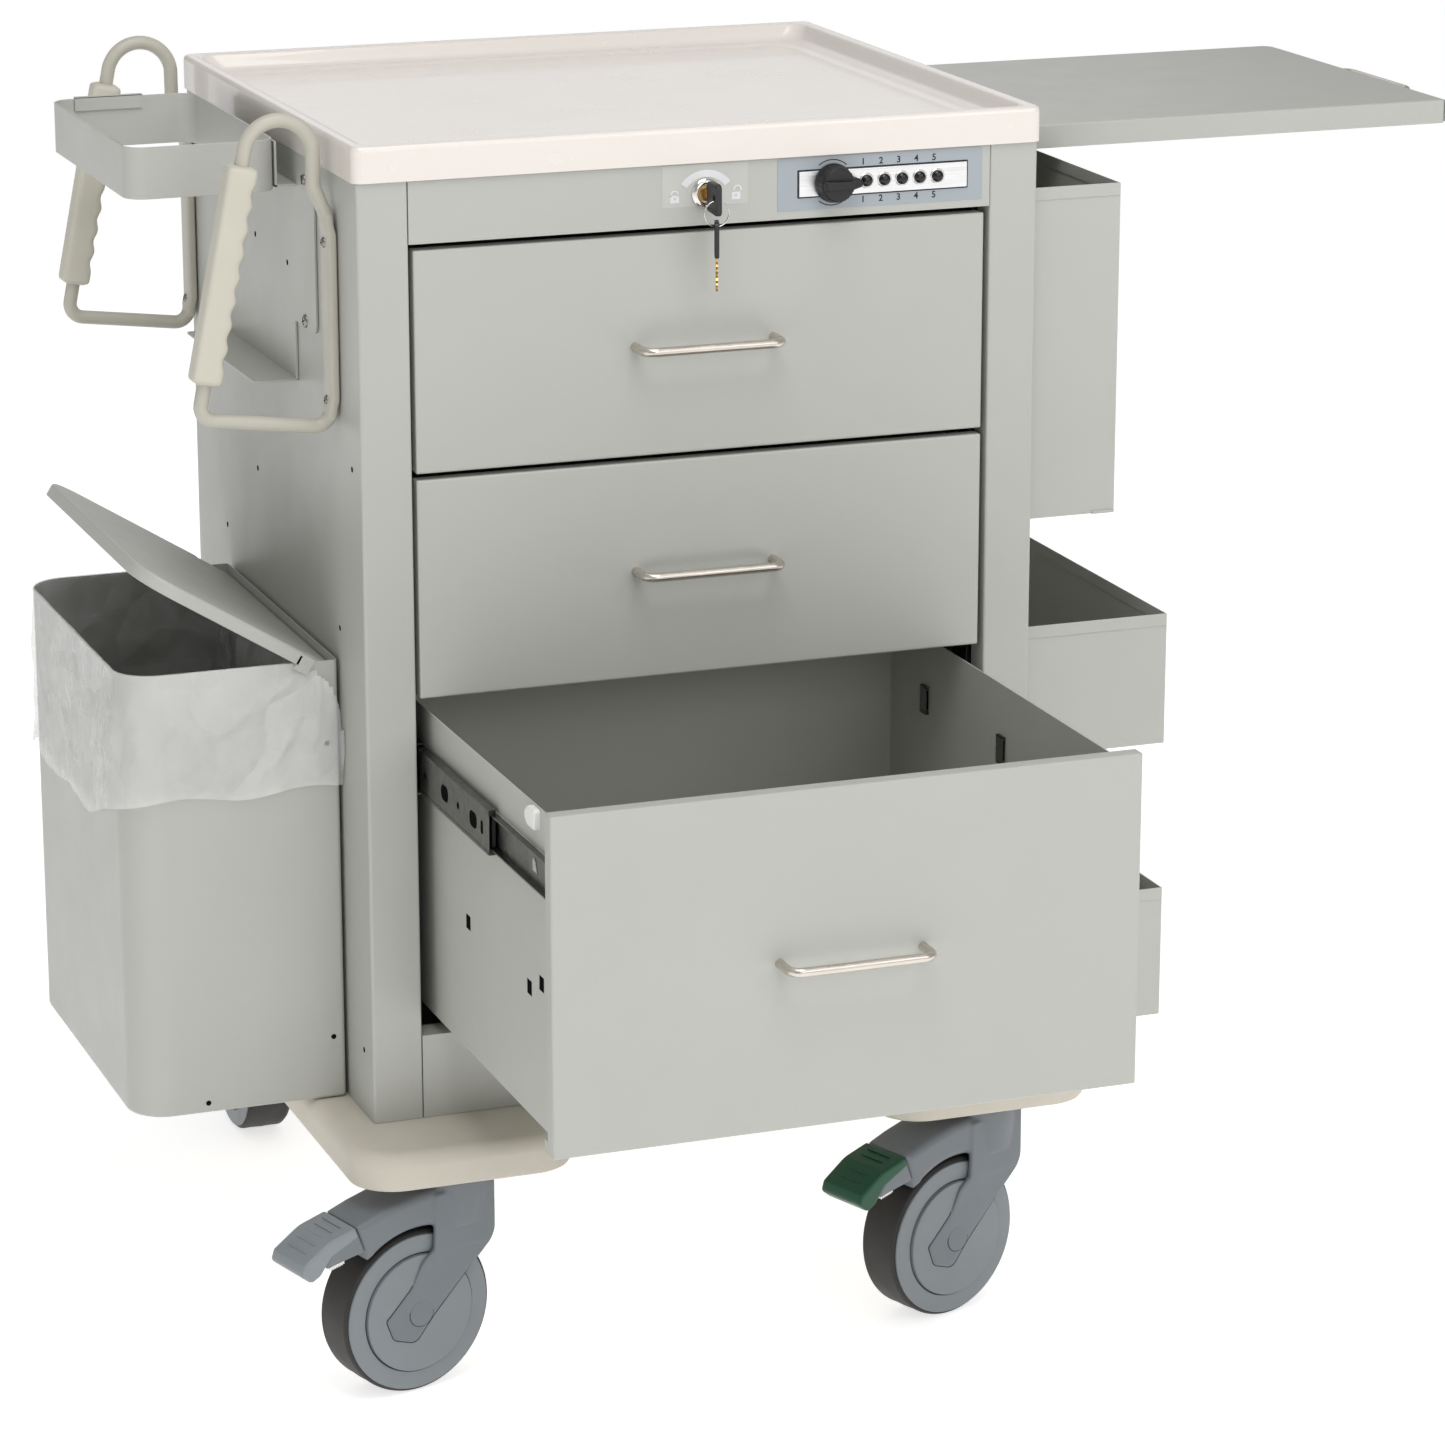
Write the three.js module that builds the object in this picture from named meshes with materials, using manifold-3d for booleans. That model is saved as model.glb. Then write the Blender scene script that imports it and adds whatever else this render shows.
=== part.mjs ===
// A hospital medication cart: a steel cabinet with three drawers on ball-bearing slides, a moulded
// top tray, a pull-out side shelf, push handles and a sharps bracket, a lidded waste bin, three
// side bins, a key lock with its key and ring, a push-button code lock, and a bumper base on four
// swivel casters.
//
// Millimetres, +Z up, +X to the cart's right seen from the drawers, +Y towards its back. The cart
// is built in the cabinet's frame (front lower left corner at 0, 0, 0), and the exported group then
// puts the origin at the middle of its base, on the floor.
import * as THREE from "three";
import { mergeVertices } from "three/addons/utils/BufferGeometryUtils.js";
import Module from "manifold-3d";

const wasm = await Module();
wasm.setup();

// ---- driving dimensions ----
const GAP = 0.4; // between pieces that rest on each other
const SHEET = 1.5;

const CABINET = { width: 622, depth: 558, height: 835 };
const PILLAR = { width: 45, depth: 28 };
const REAR_FLANGE = 25;
const HEADER_Z = 781;
const FRONT_RAIL_TOP = 76.5;

const TRAY = { overhang: 3, height: 31.5, floor: 15, rim: 12, wall: 22, corner: 9 };
const BUMPER = { thick: 34, side: 38, front: 85, recess: 12, lobe: 203, corner: 42, inner: 28, edge: 8 };

const FACE = { width: 523, recess: 2, depth: 14 };
const BOX = { width: 502, wall: 1.2, front: 17.5, back: 528, underFace: 7, belowTop: 9.6 };
const DRAWERS = [
  { name: "top", low: 582.1, high: 775.2, out: 0 },
  { name: "middle", low: 383.3, high: 576.4, out: 0 },
  { name: "bottom", low: 84.1, high: 377.6, out: 350 },
];
const MID_RAIL_SHARE = 0.57; // how far the middle rail runs for each mm the drawer runs
const SLIDE = {
  face: 47.3, wall: 1.2, flange: 7, front: 17, outer: 46, middle: 40, inner: 31, belowTop: 52,
  outerLength: 505, middleLength: 400, innerLength: 470,
};
const POST = { face: 47.1, depth: 30, front: 34, rear: 490, top: 792 };

const PULL = { centres: 128, wire: 8, standoff: 29, corner: 11 };
const SHELF = { front: 135, back: 503, low: 804, thick: 22, outer: 1099, length: 529, slotGap: 2 };
const SHELF_TRACK = { inner: 60, wall: 2, height: 18 };

const CASTER = { x: 58, y: 30, trail: 48, radius: 75, width: 43, hubZ: -155, head: 36 };
const FORK = { inner: 23, outer: 30, axle: 5, guard: 79.5 };

const HANDLE = {
  planes: [68, 545], tube: 12.7, lean: 11.5, bow: 30, bowZ: 851.5, bowSteps: 12, inner: -17.5, jog: [823, 798],
  wall: -6.8, elbowZ: 629, lowZ: 614.5, ends: [660, 760],
};
const WALL_BAR = { wide: 26, thick: 9, low: 607, high: 800, corner: 4 };
const GRIP = { top: 845, bottom: 660, wide: 27, deep: 24, scallops: 8, scallop: 2.2, plain: 12, edge: [3, 6] };
const RING = { left: -155, right: -22, front: 165, back: 447, low: 803.5, high: 848.5, wall: 2, corner: 18 };
const PLATE = {
  front: 121.5, back: 491, low: 684, high: 830, tongueFront: 189, tongueBack: 423, tongueLow: 630,
};

const WASTE = { left: -196, right: -3, front: 76, back: 441, high: 405, wall: 1.2, corner: 35 };
const LINER = { hem: 291, thick: 1.2, floor: 6 };
const LID = {
  pinX: -34.5, pinZ: 401.5, pin: 2, reach: 171.5, tail: 27, rise: 11.5, lip: 12, wall: 1.5, side: 4, open: 32,
};
const SIDE_BINS = [
  { name: "upper", reach: 88, low: 491, high: 791 },
  { name: "middle", reach: 144, low: 267.5, high: 390.5 },
  { name: "lower", reach: 146, low: 3.5, high: 127.5 },
];
const SIDE_BIN = { front: 15, back: 543, wall: 1.2 };

const KEYLOCK = { x: 311.7, z: 808.7, bezel: 13.5, barrel: 9.5, plug: 6, depth: 25 };
const BOW = { thick: 5, near: 8, far: 34, low: -15.5, high: 12.5, holeY: 27, hole: 3.2 };
const KEY_RING = { radius: 11.2, wire: 0.8 };
const CODE = { left: 397, right: 554, low: 800, high: 822, z: 811, knobX: 428, knob: 17, knobDeep: 20 };
const BUTTON = { first: 459.4, pitch: 16.6, count: 5, radius: 5.2, out: 7, inside: 9 };

// ---- colours ----
const PAINT = 0xb5b5ac;
const STEEL = 0x8d8f8c;
const TRAY_WHITE = 0xeee6e0;
const BEIGE = 0xbfb8ac;
const HANDLE_BEIGE = 0xb1aea2;
const CASTER_GRAY = 0x757d84;
const TYRE = 0x3f3b38;
const PEDAL_GREEN = 0x155c3a;
const FILM = 0xe8e8e8;
const BLACK = 0x161616;

// ---- solids ----
const solid = (geometry) => {
  geometry.deleteAttribute("normal");
  geometry.deleteAttribute("uv");
  const merged = mergeVertices(geometry, 1e-4);
  const vertProperties = merged.attributes.position.array;
  const triVerts = new Uint32Array(merged.index.array);
  return new wasm.Manifold(new wasm.Mesh({ numProp: 3, vertProperties, triVerts }));
};

const geometryOf = (manifold) => {
  const mesh = manifold.getMesh();
  const geometry = new THREE.BufferGeometry();
  geometry.setAttribute("position", new THREE.BufferAttribute(mesh.vertProperties, 3));
  geometry.setIndex(new THREE.BufferAttribute(mesh.triVerts, 1));
  return geometry;
};

const joined = (...pieces) => pieces.reduce((all, piece) => all.add(piece));
const cut = (piece, ...tools) => tools.reduce((left, tool) => left.subtract(tool), piece);

const box = (x0, x1, y0, y1, z0, z1) =>
  solid(
    new THREE.BoxGeometry(x1 - x0, y1 - y0, z1 - z0).translate((x0 + x1) / 2, (y0 + y1) / 2, (z0 + z1) / 2),
  );

const shapeOf = (points) => new THREE.Shape(points.map(([x, y]) => new THREE.Vector2(x, y)));

// A closed outline from corners [x, y, radius], each rounded by an arc of the given steps.
const rounded = (corners, steps = 4) => {
  const points = [];
  corners.forEach(([x, y, radius = 0], i) => {
    const corner = new THREE.Vector2(x, y);
    if (!radius) {
      points.push([x, y]);
      return;
    }
    const [bx, by] = corners[(i + corners.length - 1) % corners.length];
    const [ax, ay] = corners[(i + 1) % corners.length];
    const before = new THREE.Vector2(bx, by).sub(corner).normalize();
    const after = new THREE.Vector2(ax, ay).sub(corner).normalize();
    const half = Math.acos(before.dot(after)) / 2;
    const middle = before.clone().add(after).normalize();
    const centre = corner.clone().addScaledVector(middle, radius / Math.sin(half));
    const start = corner.clone().addScaledVector(before, radius / Math.tan(half)).sub(centre);
    const end = corner.clone().addScaledVector(after, radius / Math.tan(half)).sub(centre);
    const turn = Math.atan2(start.cross(end), start.dot(end));
    for (let k = 0; k <= steps; k++) {
      const spoke = start.clone().rotateAround(new THREE.Vector2(), (turn * k) / steps);
      points.push([centre.x + spoke.x, centre.y + spoke.y]);
    }
  });
  return points;
};

const rectangle = (x0, x1, y0, y1, radius = 0, steps = 4) =>
  rounded([[x0, y0, radius], [x1, y0, radius], [x1, y1, radius], [x0, y1, radius]], steps);

const extruded = (points, depth) => new THREE.ExtrudeGeometry(shapeOf(points), { depth, bevelEnabled: false });
// An outline in X and Y, raised from z0 to z1.
const plan = (points, z0, z1) => solid(extruded(points, z1 - z0).translate(0, 0, z0));
// An outline in X and Z, run from y0 to y1.
const alongY = (points, y0, y1) => solid(extruded(points, y1 - y0).rotateX(Math.PI / 2).translate(0, y1, 0));
// An outline in Y and Z, run from x0 to x1.
const alongX = (points, x0, x1) =>
  solid(extruded(points, x1 - x0).rotateX(Math.PI / 2).rotateZ(Math.PI / 2).translate(x0, 0, 0));

const rod = (radius, from, to, sides = 20, farRadius = radius) => {
  const start = new THREE.Vector3(...from);
  const way = new THREE.Vector3(...to).sub(start);
  const geometry = new THREE.CylinderGeometry(farRadius, radius, way.length(), sides);
  geometry.translate(0, way.length() / 2, 0);
  const turn = new THREE.Quaternion().setFromUnitVectors(new THREE.Vector3(0, 1, 0), way.normalize());
  return solid(geometry.applyQuaternion(turn).translate(start.x, start.y, start.z));
};

// A round bar along a polyline whose inner corners are rounded to the given radius.
const wire = (points, diameter, bend, sides = 8, steps = 13) => {
  const path = new THREE.CurvePath();
  const at = points.map((p) => new THREE.Vector3(...p));
  let from = at[0];
  for (let i = 1; i < at.length - 1; i++) {
    const back = at[i - 1].clone().sub(at[i]).normalize();
    const on = at[i + 1].clone().sub(at[i]).normalize();
    const start = at[i].clone().addScaledVector(back, bend);
    const end = at[i].clone().addScaledVector(on, bend);
    path.add(new THREE.LineCurve3(from, start));
    path.add(new THREE.QuadraticBezierCurve3(start, at[i], end));
    from = end;
  }
  path.add(new THREE.LineCurve3(from, at[at.length - 1]));
  return solid(new THREE.ExtrudeGeometry(shapeOf(circle(diameter / 2, sides)), { steps, extrudePath: path }));
};

const circle = (radius, sides) =>
  Array.from({ length: sides }, (_, i) => {
    const angle = (2 * Math.PI * (i + 0.5)) / sides;
    return [radius * Math.cos(angle), radius * Math.sin(angle)];
  });

// ---- nodes ----
const cart = new THREE.Group();

const node = (name, shape, color, { roughness = 0.5, metalness = 0 } = {}, parent = cart) => {
  const material = new THREE.MeshStandardMaterial({ color, roughness, metalness });
  const mesh = new THREE.Mesh(geometryOf(shape), material);
  mesh.name = name;
  parent.add(mesh);
  return mesh;
};

const METAL = { roughness: 0.35, metalness: 0.9 };

// ---- cabinet ----
const { width: W, depth: D, height: H } = CABINET;

// The plan section of a side: outer skin, front pillar with its inward return, and rear flange.
const sideSection = [
  [0, 0], [PILLAR.width, 0], [PILLAR.width, PILLAR.depth], [PILLAR.width - SHEET, PILLAR.depth],
  [PILLAR.width - SHEET, SHEET], [SHEET, SHEET], [SHEET, D - SHEET], [REAR_FLANGE, D - SHEET],
  [REAR_FLANGE, D], [0, D],
];
const mirroredX = (points) => points.map(([x, ...rest]) => [W - x, ...rest]).reverse();

function makeSides() {
  node("side_panel_left", plan(sideSection, 0, H - GAP), PAINT);
  const slot = box(
    W - 10, W + 10, SHELF.front - SHELF.slotGap, SHELF.back + SHELF.slotGap,
    SHELF.low - SHELF.slotGap, SHELF.low + SHELF.thick + SHELF.slotGap,
  );
  node("side_panel_right", plan(mirroredX(sideSection), 0, H - GAP).subtract(slot), PAINT);
}

function makeBack() {
  node("back_panel", box(REAR_FLANGE + GAP, W - REAR_FLANGE - GAP, D - SHEET, D, GAP, H - GAP), PAINT);
}

function makeBottom() {
  const section = [
    [0, 0], [D - SHEET - GAP, 0], [D - SHEET - GAP, SHEET], [SHEET, SHEET],
    [SHEET, FRONT_RAIL_TOP - SHEET], [PILLAR.depth, FRONT_RAIL_TOP - SHEET],
    [PILLAR.depth, FRONT_RAIL_TOP], [0, FRONT_RAIL_TOP],
  ];
  node("bottom_panel", alongX(section, PILLAR.width + GAP, W - PILLAR.width - GAP), PAINT);
}

const buttonX = (i) => BUTTON.first + BUTTON.pitch * i;

function makeHeader() {
  const top = H - GAP;
  const flange = 20;
  const section = [
    [0, HEADER_Z], [PILLAR.depth, HEADER_Z], [PILLAR.depth, HEADER_Z + SHEET], [SHEET, HEADER_Z + SHEET],
    [SHEET, top - SHEET], [flange, top - SHEET], [flange, top], [0, top],
  ];
  const holes = [rod(KEYLOCK.barrel + GAP, [KEYLOCK.x, -5, KEYLOCK.z], [KEYLOCK.x, 5, KEYLOCK.z])];
  holes.push(rod(4 + GAP, [CODE.knobX, -5, CODE.z], [CODE.knobX, 5, CODE.z], 12));
  for (let i = 0; i < BUTTON.count; i++) {
    holes.push(rod(BUTTON.radius + GAP, [buttonX(i), -5, CODE.z], [buttonX(i), 5, CODE.z], 12));
  }
  node("header_panel", cut(alongX(section, PILLAR.width + GAP, W - PILLAR.width - GAP), ...holes), PAINT);
}

// A closed skin between a lower and an upper convex outline with the same number of points.
function lofted(low, z0, high, z1) {
  const count = low.length;
  const positions = [...low.flatMap(([x, y]) => [x, y, z0]), ...high.flatMap(([x, y]) => [x, y, z1])];
  const faces = [];
  for (let i = 0; i < count; i++) {
    const next = (i + 1) % count;
    faces.push(i, next, count + next, i, count + next, count + i);
  }
  for (let i = 1; i < count - 1; i++) {
    faces.push(0, i + 1, i, count, count + i, count + i + 1);
  }
  const geometry = new THREE.BufferGeometry();
  geometry.setAttribute("position", new THREE.Float32BufferAttribute(positions, 3));
  geometry.setIndex(faces);
  return solid(geometry);
}

function makeTray() {
  const out = TRAY.overhang;
  const body = plan(rectangle(-out, W + out, -out, D + out, TRAY.corner), H, H + TRAY.height);
  const inset = (d, r) => rectangle(d - out, W + out - d, d - out, D + out - d, r);
  const well = lofted(inset(TRAY.wall, 14), H + TRAY.floor, inset(TRAY.rim, 20), H + TRAY.height + 1);
  node("top_tray", body.subtract(well), TRAY_WHITE, { roughness: 0.3 });
}

function makeBumper() {
  const x0 = -BUMPER.side;
  const x1 = W + BUMPER.side;
  const front = -BUMPER.front;
  const frontRecess = -BUMPER.recess;
  const back = D + BUMPER.front;
  const backRecess = D + BUMPER.recess;
  const { corner, inner, lobe } = BUMPER;
  const outline = rounded([
    [x0, front, corner], [x0 + lobe, front, corner], [x0 + lobe, frontRecess, inner],
    [x1 - lobe, frontRecess, inner], [x1 - lobe, front, corner], [x1, front, corner],
    [x1, back, corner], [x1 - lobe, back, corner], [x1 - lobe, backRecess, inner],
    [x0 + lobe, backRecess, inner], [x0 + lobe, back, corner], [x0, back, corner],
  ]);
  const bevel = { bevelThickness: BUMPER.edge, bevelSize: BUMPER.edge, bevelOffset: -BUMPER.edge };
  const depth = BUMPER.thick - GAP - 2 * BUMPER.edge;
  const geometry = new THREE.ExtrudeGeometry(shapeOf(outline), { depth, bevelSegments: 1, ...bevel });
  node("base_bumper", solid(geometry.translate(0, 0, BUMPER.edge - BUMPER.thick)), BEIGE);
}

// ---- drawers and slides ----
const boxLeft = (W - BOX.width) / 2;
const boxTop = (drawer) => drawer.high - BOX.belowTop;
const slideZ = (drawer) => boxTop(drawer) - SLIDE.belowTop;

// A rail of the slide, open towards the side that its flanges point to.
function rail(web, flange, half, z, y0, y1) {
  const way = Math.sign(flange - web);
  const t = SLIDE.wall;
  const outline = [
    [web, z - half], [flange, z - half], [flange, z - half + t], [web + way * t, z - half + t],
    [web + way * t, z + half - t], [flange, z + half - t], [flange, z + half], [web, z + half],
  ];
  return alongY(way > 0 ? outline : outline.reverse(), y0, y1);
}

const mirrored = (shape) => shape.mirror([1, 0, 0]).translate([W, 0, 0]);
const bothSides = (shape) => [shape, mirrored(shape)];

function drawerBox(drawer) {
  const right = W - boxLeft;
  const low = drawer.low + BOX.underFace;
  const { wall, front, back } = BOX;
  const shell = box(boxLeft, right, front, back, low, boxTop(drawer)).subtract(
    box(boxLeft + wall, right - wall, front + wall, back - wall, low + wall, boxTop(drawer) + 1),
  );
  const z = slideZ(drawer);
  const y0 = SLIDE.front + 1;
  const y1 = SLIDE.front + SLIDE.innerLength;
  const inner = rail(boxLeft, boxLeft - SLIDE.flange, SLIDE.inner / 2, z, y0, y1);
  return joined(shell, ...bothSides(inner.translate([0.05, 0, 0])));
}

function drawerFront(drawer) {
  const left = (W - FACE.width) / 2;
  const { recess, depth } = FACE;
  const outer = box(left, W - left, recess, recess + depth, drawer.low, drawer.high);
  const hollow = box(
    left + SHEET, W - left - SHEET, recess + SHEET, recess + depth + 1, drawer.low + SHEET, drawer.high - SHEET,
  );
  return outer.subtract(hollow);
}

function drawerPull(x, y, z) {
  const half = PULL.centres / 2;
  const near = y - GAP;
  const far = y - PULL.standoff;
  const route = [[x - half, near, z], [x - half, far, z], [x + half, far, z], [x + half, near, z]];
  return wire(route, PULL.wire, PULL.corner);
}

function makeDrawers() {
  for (const drawer of DRAWERS) {
    const group = new THREE.Group();
    group.position.y = -drawer.out;
    const z = (drawer.low + drawer.high) / 2;
    node(`drawer_box_${drawer.name}`, drawerBox(drawer), PAINT, {}, group);
    node(`drawer_front_${drawer.name}`, drawerFront(drawer), PAINT, {}, group);
    node(`drawer_pull_${drawer.name}`, drawerPull(W / 2, FACE.recess, z), STEEL, METAL, group);
    cart.add(group);
  }
}

function makeMiddleRails() {
  const web = SLIDE.face + 3.2;
  for (const drawer of DRAWERS) {
    const y0 = SLIDE.front - MID_RAIL_SHARE * drawer.out;
    const shape = rail(web, web + SLIDE.flange, SLIDE.middle / 2, slideZ(drawer), y0, y0 + SLIDE.middleLength);
    node(`slide_rail_${drawer.name}_left`, shape, STEEL, METAL);
    node(`slide_rail_${drawer.name}_right`, mirrored(shape), STEEL, METAL);
  }
}

// Two uprights inside a side, with the fixed channel of each drawer's slide welded across them.
function slideFrame() {
  const upright = (y) =>
    plan(
      [
        [SHEET + 2 * GAP, y], [POST.face, y], [POST.face, y + POST.depth], [POST.face - SHEET, y + POST.depth],
        [POST.face - SHEET, y + SHEET], [SHEET + 2 * GAP, y + SHEET],
      ],
      SHEET + GAP,
      POST.top,
    );
  const channelEdge = SLIDE.face + 9.7;
  const channelBack = SLIDE.front + SLIDE.outerLength;
  const channels = DRAWERS.map((drawer) =>
    rail(POST.face - 0.1, channelEdge, SLIDE.outer / 2, slideZ(drawer), SLIDE.front, channelBack),
  );
  return joined(upright(POST.front), upright(POST.rear), ...channels);
}

function makeSlideFrames() {
  node("slide_frame_left", slideFrame(), STEEL, METAL);
  node("slide_frame_right", mirrored(slideFrame()), STEEL, METAL);
}

// ---- side shelf ----
function makeShelf() {
  const { front, back, low, thick, outer, length } = SHELF;
  const pan = box(outer - length, outer, front, back, low, low + thick);
  const hollow = box(
    outer - length + SHEET, outer - SHEET, front + SHEET, back - SHEET, low - 1, low + thick - SHEET,
  );
  node("side_shelf", pan.subtract(hollow), PAINT);
  const middle = (front + back) / 2;
  const half = PULL.centres / 2;
  const z = low + thick / 2;
  const far = outer + PULL.standoff - 3;
  const near = outer + GAP;
  const route = [
    [near, middle - half, z], [far, middle - half, z], [far, middle + half, z], [near, middle + half, z],
  ];
  node("shelf_pull", wire(route, PULL.wire, PULL.corner), STEEL, METAL);
}

// The frame under the shelf, inside the cabinet: two angle tracks joined by two cross ties.
function makeShelfTracks() {
  const { inner, wall, height } = SHELF_TRACK;
  const top = SHELF.low + height;
  const low = SHELF.low - GAP - wall;
  const track = (y, way) => {
    const outline = [
      [y, low], [y + way * 14, low], [y + way * 14, low + wall], [y + way * wall, low + wall],
      [y + way * wall, top], [y, top],
    ];
    return alongX(way > 0 ? outline : outline.reverse(), inner, W - SHEET - GAP);
  };
  const front = SHELF.front - GAP - wall;
  const back = SHELF.back + GAP + wall;
  const ties = [inner, W - 90].map((x) => box(x, x + 30, front, back, low, low + wall));
  node("shelf_tracks", joined(track(front, 1), track(back, -1), ...ties), STEEL, METAL);
}

// ---- push handles ----
// Where the leaning grip leg meets the bow, and where it is at a given height.
function gripLeg() {
  const lean = THREE.MathUtils.degToRad(HANDLE.lean);
  const bowX = HANDLE.inner - HANDLE.bow;
  const top = [bowX - HANDLE.bow * Math.cos(lean), HANDLE.bowZ + HANDLE.bow * Math.sin(lean)];
  const at = (z) => [top[0] - (top[1] - z) * Math.tan(lean), z];
  return { lean, bowX, top, at };
}

// The handle's tube, in its own plane: wall end, lower elbow, grip leg, bow, jog and wall end.
function handleTube() {
  const { wall, inner, bow, bowZ, bowSteps, elbowZ, lowZ, jog, ends } = HANDLE;
  const { lean, bowX, top, at: legAt } = gripLeg();
  const v = ([x, z]) => new THREE.Vector3(x, 0, z);
  const path = new THREE.CurvePath();
  const corner = (a, b, c, bend) => {
    const start = b.clone().addScaledVector(a.clone().sub(b).normalize(), bend);
    const end = b.clone().addScaledVector(c.clone().sub(b).normalize(), bend);
    path.add(new THREE.LineCurve3(a, start));
    path.add(new THREE.QuadraticBezierCurve3(start, b, end));
    return end;
  };
  const elbow = v(legAt(elbowZ));
  let at = corner(v([wall, ends[0]]), v([wall, lowZ]), elbow, 11);
  at = corner(at, elbow, v(top), 14);
  path.add(new THREE.LineCurve3(at, v(top)));
  at = v(top);
  for (let k = 1; k <= bowSteps; k++) {
    const angle = (Math.PI - lean) * (1 - k / bowSteps);
    const next = v([bowX + bow * Math.cos(angle), bowZ + bow * Math.sin(angle)]);
    path.add(new THREE.LineCurve3(at, next));
    at = next;
  }
  at = corner(at, v([inner, jog[0]]), v([wall, jog[1]]), 6);
  at = corner(at, v([wall, jog[1]]), v([wall, ends[1]]), 6);
  path.add(new THREE.LineCurve3(at, v([wall, ends[1]])));
  const section = shapeOf(circle(HANDLE.tube / 2, 8));
  return solid(new THREE.ExtrudeGeometry(section, { steps: 56, extrudePath: path }));
}

// The flat bar against the cabinet side that the tube's ends are welded to.
function wallBar() {
  const { wide, thick, low, high, corner } = WALL_BAR;
  const near = -GAP;
  const far = near - thick;
  const half = wide / 2;
  return plan(rounded([[far, -half, corner], [near, -half], [near, half], [far, half, corner]], 3), low, high);
}

// A flat-backed grip with scallops for the fingers, bored for the tube.
function handleGrip() {
  const { lean, at } = gripLeg();
  const { top, bottom, wide, deep, scallops, scallop, plain, edge } = GRIP;
  const length = (top - bottom) / Math.cos(lean);
  const half = wide / 2;
  const points = [[0, -half], [length, -half], [length, half]];
  const steps = scallops * 4;
  for (let k = steps; k >= 0; k--) {
    const wave = 0.5 - 0.5 * Math.cos((2 * Math.PI * scallops * k) / steps);
    points.push([plain + ((length - 2 * plain) * k) / steps, half - scallop * wave]);
  }
  points.push([0, half]);
  const [bevelSize, bevelThickness] = edge;
  const bevel = { bevelThickness, bevelSize, bevelOffset: -bevelSize, bevelSegments: 1 };
  const geometry = new THREE.ExtrudeGeometry(shapeOf(points), { depth: deep - 2 * bevelThickness, ...bevel });
  geometry.translate(0, 0, bevelThickness - deep / 2);
  const body = solid(geometry.rotateX(Math.PI / 2));
  const bore = rod(HANDLE.tube / 2 + GAP, [-5, 0, 0], [length + 5, 0, 0], 12);
  const [x, z] = at(bottom);
  return body.subtract(bore).rotate([0, HANDLE.lean - 90, 0]).translate([x, 0, z]);
}

function makeHandles() {
  HANDLE.planes.forEach((y, i) => {
    const end = i ? "rear" : "front";
    const cabinetSide = box(-GAP, 20, -50, 50, 500, 900);
    const handle = joined(handleTube(), wallBar()).subtract(cabinetSide);
    node(`push_handle_${end}`, handle.translate([0, y, 0]), HANDLE_BEIGE);
    node(`handle_grip_${end}`, handleGrip().translate([0, y, 0]), HANDLE_BEIGE, { roughness: 0.6 });
  });
}

// ---- sharps bracket ----
function makeBracket() {
  const { left, right, front, back, low, high, wall, corner } = RING;
  const outer = plan(rectangle(left, right, front, back, corner), low, high);
  const inner = plan(
    rectangle(left + wall, right - wall, front + wall, back - wall, corner - wall), low - 1, high + 1,
  );
  node("sharps_ring", outer.subtract(inner), PAINT);
  const t = 2;
  const face = -GAP - t;
  const arm = right + GAP;
  const plate = joined(
    box(face, -GAP, PLATE.front, PLATE.back, PLATE.low, PLATE.high),
    box(face, -GAP, PLATE.tongueFront, PLATE.tongueBack, PLATE.tongueLow, PLATE.low + 1),
    box(-41, -GAP, PLATE.tongueFront, PLATE.tongueBack, PLATE.tongueLow, PLATE.tongueLow + t),
    box(arm, -GAP, front + 10, back - 10, low + t, low + 2 * t),
    box(arm, arm + t, front + 10, back - 10, low + t, high - 3),
  );
  node("sharps_bracket", plate, PAINT);
}

// ---- waste bin ----
const wasteOutline = (out, leftCorner) => {
  const { left, right, front, back } = WASTE;
  return rounded([
    [left - out, front - out, leftCorner + out], [right + out, front - out, Math.max(1, 4 + out)],
    [right + out, back + out, Math.max(1, 4 + out)], [left - out, back + out, leftCorner + out],
  ]);
};
// The round holes of the lid's two hinge pins, through both ends of the bin.
const pinHoles = (radius) =>
  rod(radius, [LID.pinX, WASTE.front - 10, LID.pinZ], [LID.pinX, WASTE.back + 10, LID.pinZ], 12);

function makeWasteBin() {
  const floor = GAP + WASTE.wall;
  const outer = plan(wasteOutline(0, WASTE.corner), GAP, WASTE.high);
  const inner = plan(wasteOutline(-WASTE.wall, WASTE.corner), floor, WASTE.high + 1);
  node("waste_bin", cut(outer, inner, pinHoles(LID.pin + 0.5)), PAINT);
}

function makeLiner() {
  const { thick, hem } = LINER;
  const inside = WASTE.wall + GAP;
  const skirt = plan(wasteOutline(GAP + thick, WASTE.corner), hem, WASTE.high + GAP + thick).subtract(
    plan(wasteOutline(GAP, WASTE.corner), 0, WASTE.high + GAP),
  );
  const bag = plan(wasteOutline(-inside, WASTE.corner), LINER.floor, WASTE.high + GAP + thick);
  const hollow = plan(wasteOutline(-inside - thick, WASTE.corner), LINER.floor + thick, WASTE.high + 9);
  const tailSwing = box(-16, 9, 0, 600, LID.pinZ - 36, 430);
  const cabinetSide = box(-GAP, 9, 0, 600, 0, 600);
  const liner = cut(joined(skirt, bag), hollow, tailSwing, cabinetSide, pinHoles(LID.pin + 3));
  node("waste_liner", liner, FILM, { roughness: 0.4 });
}

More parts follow.
